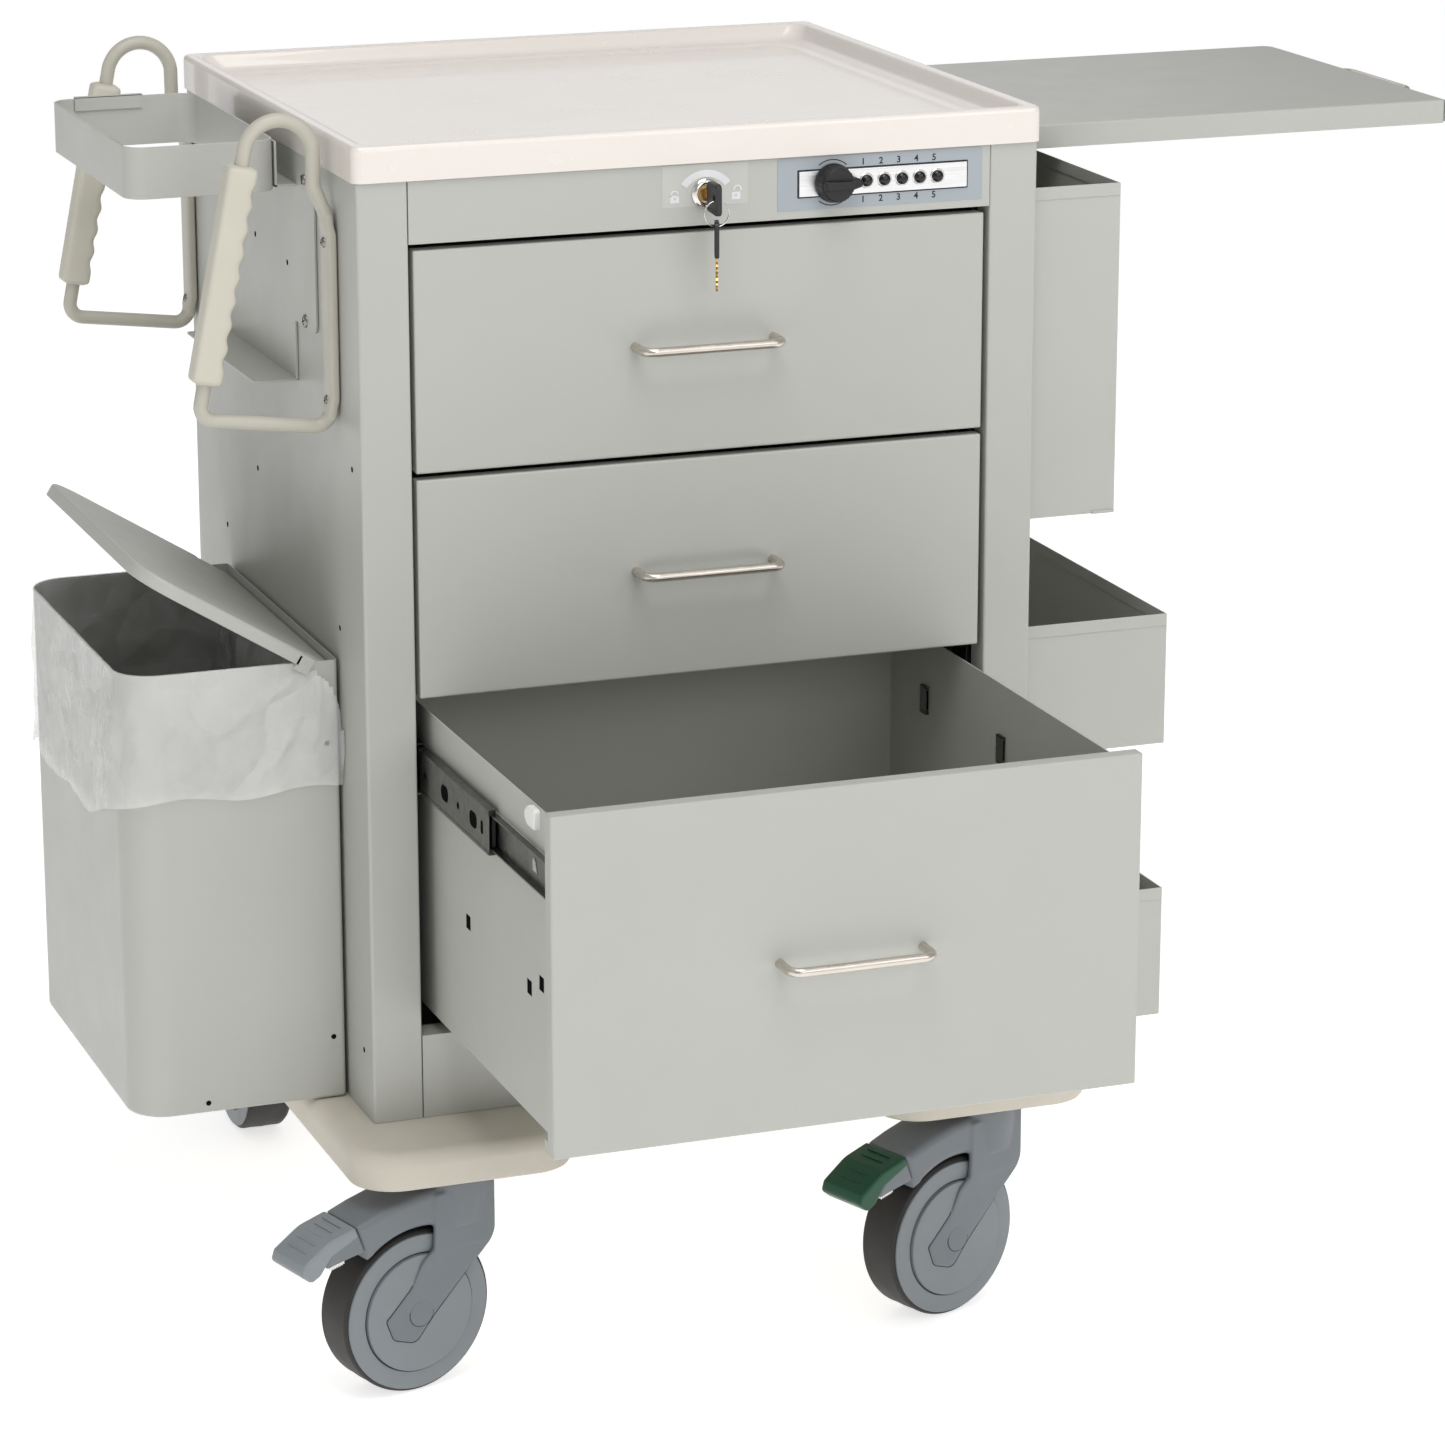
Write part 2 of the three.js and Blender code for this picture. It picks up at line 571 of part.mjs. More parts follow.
// The lid as it lies shut: a lipped cover, a narrower tail behind the pins, and an ear with a pin
// at each end.
function wasteLid() {
  const { pinX, pinZ, pin, reach, tail, rise, lip, wall, side } = LID;
  const front = WASTE.front - side;
  const back = WASTE.back + side;
  const top = pinZ + rise;
  const left = pinX - reach;
  const right = pinX + tail;
  const outline = (inset) =>
    rounded([
      [left + inset, front + inset, 38 - inset], [right, front + inset], [right, back - inset],
      [left + inset, back - inset, 38 - inset],
    ]);
  const shell = plan(outline(0), top - lip, top).subtract(plan(outline(wall), top - lip - 1, top - wall));
  const shoulder = side + WASTE.wall + LINER.thick + 1;
  const notches = [
    [front + wall, front + shoulder, pinX - 4], [front - 1, front + shoulder, pinX + 6],
    [back - shoulder, back - wall, pinX - 4], [back - shoulder, back + 1, pinX + 6],
  ].map(([y0, y1, x]) => box(x, right + 1, y0, y1, top - lip - 1, top + 1));
  const ears = [[front, front + wall], [back - wall, back]].map(([y0, y1]) =>
    box(pinX - 6, pinX + 6, y0, y1, pinZ - 5, top - 1),
  );
  const pins = [[front + 0.1, front + 6.6], [back - 0.1, back - 6.6]].map(([y0, y1]) =>
    rod(pin, [pinX, y0, pinZ], [pinX, y1, pinZ], 10),
  );
  return joined(cut(shell, ...notches), ...ears, ...pins);
}

function makeWasteLid() {
  const group = new THREE.Group();
  group.position.set(LID.pinX, 0, LID.pinZ);
  group.rotation.y = THREE.MathUtils.degToRad(LID.open);
  node("waste_lid", wasteLid().translate([-LID.pinX, 0, -LID.pinZ]), PAINT, {}, group);
  cart.add(group);
}

function makeSideBins() {
  for (const bin of SIDE_BINS) {
    const { front, back, wall } = SIDE_BIN;
    const left = W + GAP;
    const right = W + bin.reach;
    const shell = box(left, right, front, back, bin.low, bin.high);
    const hollow = box(left + wall, right - wall, front + wall, back - wall, bin.low + wall, bin.high + 1);
    node(`side_bin_${bin.name}`, shell.subtract(hollow), PAINT);
  }
}

// ---- locks ----
function makeKeyLock() {
  const { x, z, bezel, barrel, plug, depth } = KEYLOCK;
  const at = (y) => [x, y, z];
  const body = joined(rod(bezel, at(-GAP), at(-4), 24, bezel - 2), rod(barrel, at(-1), at(depth), 20));
  node("keylock_barrel", body.subtract(rod(plug + GAP, at(-9), at(depth + 1), 20)), STEEL, METAL);

  const t = BOW.thick / 2;
  const bowOutline = rectangle(-BOW.far, -BOW.near, z + BOW.low, z + BOW.high, 5, 3);
  const bow = alongX(bowOutline, x - t, x + t);
  const hole = rod(BOW.hole, [x - 9, -BOW.holeY, z], [x + 9, -BOW.holeY, z], 12);
  const blade = box(x - 1, x + 1, -BOW.near - 2, 4, z - 4, z + 4);
  const core = rod(plug, at(-3), at(depth + 3), 20);
  const cam = box(x - 6, x + 6, depth + GAP, depth + 3, z, z + 24);
  node("key", joined(bow.subtract(hole), blade, core, cam), BLACK);

  const ringZ = z - BOW.hole + KEY_RING.wire + 0.3 - KEY_RING.radius;
  const ring = new THREE.TorusGeometry(KEY_RING.radius, KEY_RING.wire, 6, 24).rotateX(Math.PI / 2);
  node("key_ring", solid(ring.translate(x, -BOW.holeY, ringZ)), STEEL, METAL);
}

function makeCodeLock() {
  const { left, right, low, high, z, knobX, knob, knobDeep } = CODE;
  const face = -GAP - 1.8;
  const holes = [rod(4 + GAP, [knobX, -9, z], [knobX, 9, z], 12)];
  for (let i = 0; i < BUTTON.count; i++) {
    holes.push(rod(BUTTON.radius + GAP, [buttonX(i), -9, z], [buttonX(i), 9, z], 12));
  }
  node("code_lock_plate", cut(box(left, right, face, -GAP, low, high), ...holes), STEEL, METAL);

  const near = face - GAP;
  const pointer = alongY(
    rounded([[knobX, z - 8, 2], [knobX + 24, z - 3, 2], [knobX + 24, z + 3, 2], [knobX, z + 8, 2]], 2),
    near - 12,
    near,
  );
  const dial = rod(knob, [knobX, near, z], [knobX, near - knobDeep, z], 28, knob - 2);
  const shaft = rod(4, [knobX, near - 5, z], [knobX, 18, z], 12);
  node("code_knob", joined(dial, pointer, shaft), BLACK);

  for (let i = 0; i < BUTTON.count; i++) {
    const r = BUTTON.radius;
    const profile = [[0, -BUTTON.inside], [r, -BUTTON.inside], [r, BUTTON.out - 3], [r * 0.75, BUTTON.out - 1]];
    profile.push([r * 0.4, BUTTON.out - 0.2], [0, BUTTON.out]);
    const turned = new THREE.LatheGeometry(profile.map(([a, b]) => new THREE.Vector2(a, b)), 12);
    node(`code_button_${i + 1}`, solid(turned.rotateX(Math.PI).translate(buttonX(i), 0, z)), BLACK);
  }
}

// ---- casters, built with the swivel axis at the origin and the wheel trailing along +X ----
function casterFork(withPedal) {
  const { trail, hubZ, head, width } = CASTER;
  const top = -BUMPER.thick - GAP;
  const leg = rounded([
    [-30, -62], [-30, -100, 20], [-4, -122, 12], [36, -161, 8], [54, -182, 9], [77, -174, 8],
    [84, -155, 3], [58, -130, 20], [46, -107, 12], [33, -100, 4], [33, -62],
  ], 2);
  const hoodEnd = withPedal ? [[112, -60], [101, -84]] : [[122, -72, 8], [112, -92, 4]];
  const hood = rounded([
    [-10, -46], [34, -44, 30], [72, -49, 40], ...hoodEnd, [88, -84, 20], [40, -68], [-10, -74],
  ].reverse(), 2);
  const { inner, outer } = FORK;
  const shell = joined(
    rod(head, [0, 0, top], [0, 0, -80], 20, head - 3),
    alongY(leg, -outer, outer),
    alongY(hood, -outer, outer),
  );
  const wheelSpace = rod(FORK.guard, [trail, -inner, hubZ], [trail, inner, hubZ], 28);
  const axle = rod(FORK.axle, [trail, -outer - 1, hubZ], [trail, outer + 1, hubZ], 12);
  const legGap = box(-40, 90, -inner, inner, -200, -112);
  const spacers = [-1, 1].map((way) =>
    rod(12, [trail, way * (width / 2 + 1), hubZ], [trail, way * (inner + 1), hubZ], 12),
  );
  return joined(cut(shell, wheelSpace, legGap), axle, ...spacers);
}

function casterWheel() {
  const { radius, width } = CASTER;
  const bore = FORK.axle + GAP;
  const half = width / 2;
  const rim = radius - 4;
  const profile = [
    [bore, -half], [rim, -half], [radius, -half + 6], [radius, half - 6], [rim, half], [bore, half],
    [bore, -half],
  ];
  return solid(new THREE.LatheGeometry(profile.map(([a, b]) => new THREE.Vector2(a, b)), 30));
}

function casterPedal() {
  const outline = rounded([
    [113, -60.6, 2], [140, -68, 30], [165, -84, 4], [168, -93, 4], [158, -101, 5], [134, -90, 12],
    [103.2, -84.5, 2],
  ].reverse(), 3);
  return alongY(outline, -24, 24);
}

const CASTERS = [
  { name: "front_left", x: CASTER.x, y: -CASTER.y, yaw: 195.5, pedal: "brake_pedal" },
  { name: "front_right", x: W - CASTER.x, y: -CASTER.y, yaw: 200.5, pedal: "tracking_pedal" },
  { name: "rear_left", x: CASTER.x, y: D + CASTER.y, yaw: 90 },
  { name: "rear_right", x: W - CASTER.x, y: D + CASTER.y, yaw: 78 },
];

function makeCasters() {
  for (const caster of CASTERS) {
    const group = new THREE.Group();
    group.position.set(caster.x, caster.y, 0);
    group.rotation.z = THREE.MathUtils.degToRad(caster.yaw);
    node(`caster_fork_${caster.name}`, casterFork(Boolean(caster.pedal)), CASTER_GRAY, {}, group);
    const wheel = node(`caster_wheel_${caster.name}`, casterWheel(), TYRE, { roughness: 0.8 }, group);
    wheel.position.set(CASTER.trail, 0, CASTER.hubZ);
    const pedalColor = caster.pedal === "tracking_pedal" ? PEDAL_GREEN : CASTER_GRAY;
    if (caster.pedal) node(caster.pedal, casterPedal(), pedalColor, {}, group);
    cart.add(group);
  }
}

makeSides();
makeBack();
makeBottom();
makeHeader();
makeTray();
makeBumper();
makeDrawers();
makeMiddleRails();
makeSlideFrames();
makeShelf();
makeShelfTracks();
makeHandles();
makeBracket();
makeWasteBin();
makeLiner();
makeWasteLid();
makeSideBins();
makeKeyLock();
makeCodeLock();
makeCasters();

const span = new THREE.Box3().setFromObject(cart, true);
cart.position.set(-(span.min.x + span.max.x) / 2, -(span.min.y + span.max.y) / 2, -span.min.z);

const part = new THREE.Group();
part.add(cart);
export default part;
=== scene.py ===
"""The looks of a hospital medication cart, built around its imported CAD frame.

Shapes are lists of points in millimetres in the cabinet's own frame: its lower left front corner is
0, 0, 0, +X runs to the right seen from the drawers, +Y to the back and +Z up.
"""
import math

import bmesh
import bpy
from mathutils import Matrix, Vector, noise


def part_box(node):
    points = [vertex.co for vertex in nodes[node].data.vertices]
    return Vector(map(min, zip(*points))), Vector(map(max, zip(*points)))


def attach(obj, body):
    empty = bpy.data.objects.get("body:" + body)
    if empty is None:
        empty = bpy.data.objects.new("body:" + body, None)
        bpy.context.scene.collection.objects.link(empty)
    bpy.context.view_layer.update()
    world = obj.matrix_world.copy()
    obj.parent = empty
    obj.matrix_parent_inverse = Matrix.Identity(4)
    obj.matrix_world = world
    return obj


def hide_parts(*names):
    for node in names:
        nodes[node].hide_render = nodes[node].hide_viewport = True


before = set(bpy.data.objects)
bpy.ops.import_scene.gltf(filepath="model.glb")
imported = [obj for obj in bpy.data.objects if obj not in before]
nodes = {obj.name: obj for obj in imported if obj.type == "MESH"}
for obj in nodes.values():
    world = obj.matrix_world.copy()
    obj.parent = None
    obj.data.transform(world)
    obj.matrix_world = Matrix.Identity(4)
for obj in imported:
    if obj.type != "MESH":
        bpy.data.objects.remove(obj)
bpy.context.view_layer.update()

MM = 0.001
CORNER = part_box("side_panel_left")[0]
GAP = 0.4
ENDS = ("front", "rear")
DRAWERS = ("top", "middle", "bottom")
SIDES = ("left", "right")


def place(point):
    return CORNER + Vector(point) * MM


def span(node):
    """A CAD node's lowest and highest corner in cabinet millimetres."""
    low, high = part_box(node)
    return (low - CORNER) / MM, (high - CORNER) / MM


# ---- outlines and shapes ----
def arc(cu, cv, radius, start, end, steps):
    """Points on an arc, from and to angles in degrees."""
    turns = [math.radians(start + (end - start) * k / steps) for k in range(steps + 1)]
    return [(cu + radius * math.cos(a), cv + radius * math.sin(a)) for a in turns]


def rounded(corners, steps=6):
    """A closed outline from corners (u, v) or (u, v, radius), each rounded by an arc."""
    points = []
    for i, corner in enumerate(corners):
        here = Vector(corner[:2])
        radius = corner[2] if len(corner) > 2 else 0
        if not radius:
            points.append(tuple(here))
            continue
        before = (Vector(corners[i - 1][:2]) - here).normalized()
        after = (Vector(corners[(i + 1) % len(corners)][:2]) - here).normalized()
        half = math.acos(max(-1, min(1, before.dot(after)))) / 2
        centre = here + (before + after).normalized() * (radius / math.sin(half))
        start = here + before * (radius / math.tan(half)) - centre
        end = here + after * (radius / math.tan(half)) - centre
        turn = math.atan2(start.x * end.y - start.y * end.x, start.dot(end))
        for k in range(steps + 1):
            a = turn * k / steps
            spoke = (start.x * math.cos(a) - start.y * math.sin(a),
                     start.x * math.sin(a) + start.y * math.cos(a))
            points.append((centre.x + spoke[0], centre.y + spoke[1]))
    return points


def rect(u0, u1, v0, v1, radius=0, steps=6):
    return rounded([(u0, v0, radius), (u1, v0, radius), (u1, v1, radius), (u0, v1, radius)], steps)


def inset(outline, distance):
    """The outline moved inwards, whichever way round it runs."""
    count = len(outline)
    area = sum(outline[i - 1][0] * outline[i][1] - outline[i][0] * outline[i - 1][1] for i in range(count))
    way = 1 if area > 0 else -1
    moved = []
    for i in range(count):
        here = Vector(outline[i])
        before = (here - Vector(outline[i - 1])).normalized()
        after = (Vector(outline[(i + 1) % count]) - here).normalized()
        first = Vector((-before.y, before.x)) * way
        second = Vector((-after.y, after.x)) * way
        miter = (first + second) / max(0.3, 1 + first.dot(second))
        moved.append(tuple(here + miter * distance))
    return moved


def on(plane, outline, height):
    """An outline laid in a plane: xy at a height, xz at a depth, or yz at a distance across."""
    if plane == "xy":
        return [(u, v, height) for u, v in outline]
    if plane == "xz":
        return [(u, height, v) for u, v in outline]
    return [(height, u, v) for u, v in outline]


def join(*shapes):
    points, faces = [], []
    for more_points, more_faces in shapes:
        base = len(points)
        points += more_points
        faces += [[base + i for i in face] for face in more_faces]
    return points, faces


def loft(rings, ends=True, loop=False):
    """A skin through rings of equally many points, closed by end faces or into a loop."""
    count, size = len(rings), len(rings[0])
    points = [tuple(p) for ring in rings for p in ring]
    faces = []
    for i in range(count if loop else count - 1):
        here, there = i * size, (i + 1) % count * size
        faces += [[here + k, here + (k + 1) % size, there + (k + 1) % size, there + k] for k in range(size)]
    if ends and not loop:
        faces.append(list(range(size))[::-1])
        faces.append([(count - 1) * size + k for k in range(size)])
    return points, faces


def prism(plane, outline, low, high, edge=0.5, steps=2):
    """A solid of one outline whose rims are rounded by the edge radius."""
    if not edge:
        return loft([on(plane, outline, low), on(plane, outline, high)])
    profile = [(edge * (1 - math.sin(a)), edge * (1 - math.cos(a)))
               for a in (math.pi / 2 * k / steps for k in range(steps + 1))]
    rings = [on(plane, inset(outline, side), low + rise) for side, rise in profile]
    rings += [on(plane, inset(outline, side), high - rise) for side, rise in reversed(profile)]
    return loft(rings)


def block(x0, x1, y0, y1, z0, z1, edge=0.5, radius=0):
    return prism("xy", rect(x0, x1, y0, y1, radius), z0, z1, edge)


def shrunk(outline, distance):
    """The outline scaled towards its middle, so that small corners never cross."""
    middle = [(min(p[i] for p in outline) + max(p[i] for p in outline)) / 2 for i in (0, 1)]
    half = [max(p[i] for p in outline) - middle[i] for i in (0, 1)]
    return [tuple(middle[i] + (p[i] - middle[i]) * (1 - distance / half[i]) for i in (0, 1)) for p in outline]


def pan(plane, outline, face, rim, wall=1.5, bend=2, steps=4):
    """A shallow sheet pan: its flat face at one end, bent walls and an open back at the other."""
    way = 1 if rim > face else -1
    rings = [on(plane, shrunk(outline, bend + 2), face)]
    for k in range(steps + 1):
        a = math.pi / 2 * k / steps
        rings.append(on(plane, shrunk(outline, bend * (1 - math.sin(a))),
                        face + way * bend * (1 - math.cos(a))))
    rings.append(on(plane, outline, rim - way * 0.3))
    rings.append(on(plane, shrunk(outline, 0.3), rim))
    rings.append(on(plane, shrunk(outline, wall), rim))
    rings.append(on(plane, shrunk(outline, wall), face + way * wall))
    return loft(rings)


def lathe(profile, steps=64, loop=False):
    """A profile of (radius, height) turned about Z. A looped profile closes on itself."""
    rings = []
    for radius, height in profile:
        angles = (2 * math.pi * k / steps for k in range(steps))
        rings.append([(radius * math.cos(a), radius * math.sin(a), height) for a in angles])
    return loft(rings, loop=loop)


def moved(shape, matrix):
    points, faces = shape
    return [tuple(matrix @ Vector(p)) for p in points], faces


TO_FRONT = Matrix.Rotation(math.pi / 2, 4, "X")  # turns +Z to -Y
TO_BACK = Matrix.Rotation(-math.pi / 2, 4, "X")  # turns +Z to +Y
TO_LEFT = Matrix.Rotation(-math.pi / 2, 4, "Y")  # turns +Z to -X
TO_RIGHT = Matrix.Rotation(math.pi / 2, 4, "Y")  # turns +Z to +X


def at(x, y, z, turn=Matrix.Identity(4)):
    return Matrix.Translation((x, y, z)) @ turn


def filleted(points, radius, steps=7):
    """A path whose inner corners are rounded by arcs."""
    points = [Vector(p) for p in points]
    path = [points[0]]
    for before, here, after in zip(points, points[1:], points[2:]):
        back, forth = (before - here).normalized(), (after - here).normalized()
        half = back.angle(forth) / 2
        reach = radius / math.tan(half)
        centre = here + (back + forth).normalized() * (radius / math.sin(half))
        start, end = here + back * reach - centre, here + forth * reach - centre
        turn = start.angle(end)
        for k in range(steps + 1):
            a = turn * k / steps
            path.append(centre + (start * math.sin(turn - a) + end * math.sin(a)) / math.sin(turn))
    path.append(points[-1])
    return path


def sweep(path, section, normal, loop=False):
    """A section of (along the normal, across) offsets, or one made per point, carried along a flat path."""
    path = [Vector(p) for p in path]
    normal = Vector(normal)
    count = len(path)
    rings = []
    for i, here in enumerate(path):
        before = path[i - 1] if i or loop else here
        after = path[(i + 1) % count] if i < count - 1 or loop else here
        across = normal.cross((after - before).normalized())
        shape = section(here) if callable(section) else section
        rings.append([tuple(here + normal * u + across * v) for u, v in shape])
    return loft(rings, loop=loop)


def circle(radius, sides=20):
    return [(radius * math.cos(2 * math.pi * k / sides), radius * math.sin(2 * math.pi * k / sides))
            for k in range(sides)]


def blunt(value, power):
    """A sine or cosine raised so that a round section turns squarish."""
    return math.copysign(abs(value) ** power, value)


def tube(path, radius, normal, sides=20):
    return sweep(path, circle(radius, sides), normal)


def solid_mesh(name, points, faces):
    """A mesh whose faces all point outwards."""
    mesh = bpy.data.meshes.new(name)
    mesh.from_pydata(points, [], faces)
    shell = bmesh.new()
    shell.from_mesh(mesh)
    bmesh.ops.recalc_face_normals(shell, faces=shell.faces)
    shell.to_mesh(mesh)
    shell.free()
    return mesh


def linked(name, data):
    made = bpy.data.objects.new(name, data)
    bpy.context.scene.collection.objects.link(made)
    return made


def weigh_normals(made):
    """Large flat faces keep their own normal next to small bent ones."""
    normals = made.modifiers.new("normals", "WEIGHTED_NORMAL")
    normals.keep_sharp = True


def piece(name, shape, material, body, stands_for=(), sharp=32, matrix=None):
    """A new object from a shape, riding on a body. With a matrix, the shape's points are local to it."""
    points, faces = shape
    spots = [place(p) for p in points] if matrix is None else [Vector(p) * MM for p in points]
    mesh = solid_mesh(name, spots, faces)
    mesh.materials.append(material)
    mesh.shade_smooth()
    mesh.set_sharp_from_angle(angle=math.radians(sharp))
    made = linked(name, mesh)
    if matrix is not None:
        made.matrix_world = matrix
    if sharp < 180:
        weigh_normals(made)
    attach(made, body)
    if stands_for:
        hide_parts(*stands_for)
    return made


def dress(node, material, width=0.45):
    """A carried-over CAD node with a better material and softened sheet edges."""
    made = nodes[node]
    made.data.materials.clear()
    made.data.materials.append(material)
    made.data.shade_smooth()
    weld = made.modifiers.new("weld", "WELD")
    weld.merge_threshold = 0.00001
    bevel = made.modifiers.new("edges", "BEVEL")
    bevel.width = width * MM
    bevel.segments = 2
    bevel.limit_method = "ANGLE"
    bevel.angle_limit = math.radians(40)
    bevel.harden_normals = False
    normals = made.modifiers.new("normals", "WEIGHTED_NORMAL")
    normals.keep_sharp = False


def punched(made, name, *cutters):
    """Real holes through a piece, cut by hidden tools."""
    points, faces = join(*cutters)
    tool = linked(name, solid_mesh(name, [place(p) for p in points], faces))
    cut = made.modifiers.new("holes", "BOOLEAN")
    cut.object = tool
    cut.solver = "EXACT"
    bpy.context.view_layer.update()
    graph = bpy.context.evaluated_depsgraph_get()
    result = bpy.data.meshes.new_from_object(made.evaluated_get(graph))
    made.modifiers.clear()
    made.data = result
    weigh_normals(made)
    bpy.data.objects.remove(tool)


def fused(shape, voxel, rounds):
    """Overlapping solids made one soft-edged moulding."""
    points, faces = shape
    made = linked("moulding", solid_mesh("moulding", points, faces))
    remesh = made.modifiers.new("one", "REMESH")
    remesh.mode = "VOXEL"
    remesh.voxel_size = voxel
    smooth = made.modifiers.new("soft", "SMOOTH")
    smooth.factor = 0.5
    smooth.iterations = rounds
    bpy.context.view_layer.update()
    graph = bpy.context.evaluated_depsgraph_get()
    result = made.evaluated_get(graph).to_mesh()
    fused_shape = [tuple(v.co) for v in result.vertices], [list(f.vertices) for f in result.polygons]
    bpy.data.objects.remove(made)
    return fused_shape


# ---- materials ----
def new_material(name, slot, color, roughness, metallic=0.0, **inputs):
    """A principled material whose plain numbers sit on the shader's own sockets."""
    made = bpy.data.materials.new(name)
    made.use_nodes = True
    shader = made.node_tree.nodes["Principled BSDF"]
    shader.inputs["Base Color"].default_value = (*color, 1)
    shader.inputs["Roughness"].default_value = roughness
    shader.inputs["Metallic"].default_value = metallic
    for key, value in inputs.items():
        shader.inputs[key.replace("_", " ").title().replace("Ior", "IOR")].default_value = value
    return made


def add(material, kind, **inputs):
    made = material.node_tree.nodes.new(kind)
    for key, value in inputs.items():
        made.inputs[key].default_value = value
    return made


def noise_field(material, scale, detail=3, stretch=(1, 1, 1), roughness=0.55):
    """A noise in the piece's own space, scale in waves per metre."""
    tree = material.node_tree
    coordinates = add(material, "ShaderNodeTexCoord")
    mapping = add(material, "ShaderNodeMapping", Scale=stretch)
    field = add(material, "ShaderNodeTexNoise", Scale=scale, Detail=detail, Roughness=roughness)
    tree.links.new(coordinates.outputs["Object"], mapping.inputs["Vector"])
    tree.links.new(mapping.outputs["Vector"], field.inputs["Vector"])
    return field


def spread(material, field, source, goal, socket):
    """A noise's range carried over to the range of a shader input."""
    tree = material.node_tree
    ranged = add(material, "ShaderNodeMapRange")
    for key, value in zip(("From Min", "From Max", "To Min", "To Max"), (*source, *goal)):
        ranged.inputs[key].default_value = value
    tree.links.new(field.outputs["Fac"], ranged.inputs["Value"])
    tree.links.new(ranged.outputs["Result"], tree.nodes["Principled BSDF"].inputs[socket])


def tinted(material, scale, amount, stretch=(1, 1, 1)):
    """Base colour that drifts a little lighter and darker."""
    tree = material.node_tree
    shader = tree.nodes["Principled BSDF"]
    base = shader.inputs["Base Color"].default_value[:3]
    field = noise_field(material, scale, 4, stretch)
    ramp = add(material, "ShaderNodeValToRGB")
    ramp.color_ramp.elements[0].position = 0.3
    ramp.color_ramp.elements[1].position = 0.7
    ramp.color_ramp.elements[0].color = (*[c * (1 - amount) for c in base], 1)
    ramp.color_ramp.elements[1].color = (*[min(1, c * (1 + amount)) for c in base], 1)
    tree.links.new(field.outputs["Fac"], ramp.inputs["Fac"])
    tree.links.new(ramp.outputs["Color"], shader.inputs["Base Color"])


def worn(material, scale, low, high, stretch=(1, 1, 1)):
    """Roughness that varies between two values."""
    field = noise_field(material, scale, 5, stretch)
    spread(material, field, (0.3, 0.7), (low, high), "Roughness")


def bumpy(material, *layers):
    """Surface relief from noise layers of (scale, depth in mm, stretch)."""
    tree = material.node_tree
    last = None
    for scale, depth, stretch in layers:
        field = noise_field(material, scale, 2, stretch)
        relief = add(material, "ShaderNodeBump", Strength=1.0, Distance=depth * MM)
        tree.links.new(field.outputs["Fac"], relief.inputs["Height"])
        if last:
            tree.links.new(last.outputs["Normal"], relief.inputs["Normal"])
        last = relief
    tree.links.new(last.outputs["Normal"], tree.nodes["Principled BSDF"].inputs["Normal"])


EVEN = (1, 1, 1)


def powder_coat(name, slot, color):
    made = new_material(name, slot, color, 0.42, specular_ior_level=0.45)
    tinted(made, 9, 0.012)
    worn(made, 22, 0.38, 0.46)
    bumpy(made, (620, 0.02, EVEN), (90, 0.025, EVEN))
    return made


def moulded(name, slot, color, roughness, grain=0.03, scale=900):
    made = new_material(name, slot, color, roughness)
    tinted(made, 14, 0.03)
    worn(made, 35, roughness - 0.05, roughness + 0.05)
    bumpy(made, (scale, grain, EVEN), (60, grain * 1.5, EVEN))
    return made


def brushed(name, slot, color, roughness, stretch):
    made = new_material(name, slot, color, roughness, 1.0)
    tinted(made, 700, 0.08, stretch)
    worn(made, 500, roughness - 0.07, roughness + 0.09, stretch)
    bumpy(made, (1500, 0.008, stretch))
    return made


PAINT = powder_coat("cabinet_paint", "cabinet_paint", (0.445, 0.45, 0.417))
TRAY = new_material("tray_plastic", "tray_plastic", (0.75, 0.7, 0.655), 0.24, coat_weight=0.35)
tinted(TRAY, 7, 0.008)
worn(TRAY, 18, 0.2, 0.28)
bumpy(TRAY, (26, 0.06, EVEN))
BUMPER = moulded("bumper_plastic", "bumper_plastic", (0.57, 0.53, 0.455), 0.58, 0.05, 700)
STEEL = brushed("pull_steel", "pull_steel", (0.64, 0.59, 0.53), 0.3, (0.04, 1, 1))
STEEL_ACROSS = brushed("pull_steel_side", "pull_steel", (0.64, 0.59, 0.53), 0.3, (1, 0.04, 1))
ZINC = new_material("slide_steel", "slide_steel", (0.17, 0.17, 0.163), 0.27, 1.0)
tinted(ZINC, 60, 0.12)
worn(ZINC, 80, 0.24, 0.42)
bumpy(ZINC, (900, 0.01, (1, 0.08, 1)))
COATING = new_material("handle_coating", "handle_coating", (0.475, 0.455, 0.39), 0.4)
tinted(COATING, 12, 0.02)
worn(COATING, 25, 0.35, 0.46)
bumpy(COATING, (420, 0.02, EVEN))
GRIP = moulded("grip_plastic", "grip_plastic", (0.55, 0.53, 0.45), 0.55, 0.035, 1100)
CHROME = new_material("lock_chrome", "lock_chrome", (0.72, 0.7, 0.67), 0.12, 1.0)
worn(CHROME, 160, 0.08, 0.2)
BRASS = new_material("brass", None, (0.62, 0.4, 0.16), 0.3, 1.0)
worn(BRASS, 300, 0.22, 0.4)
SCREW = new_material("screw_steel", None, (0.3, 0.28, 0.26), 0.24, 1.0)
worn(SCREW, 400, 0.18, 0.36)
BLACK = moulded("key_black", "key_black", (0.016, 0.016, 0.016), 0.42, 0.02, 1200)
KNOB = moulded("knob_black", "knob_black", (0.006, 0.006, 0.006), 0.5, 0.03, 1200)
BUTTON = new_material("button_black", "button_black", (0.004, 0.004, 0.004), 0.14)
worn(BUTTON, 90, 0.07, 0.14)
PLATE = brushed("code_plate", "code_plate", (0.83, 0.83, 0.83), 0.33, (0.03, 1, 1))
LABEL = new_material("label_film", None, (0.345, 0.382, 0.41), 0.4)
tinted(LABEL, 30, 0.012)
PRINT = new_material("black_print", None, (0.006, 0.006, 0.008), 0.6)
tinted(PRINT, 200, 0.2)
DECAL = new_material("white_print", None, (0.68, 0.69, 0.7), 0.4)
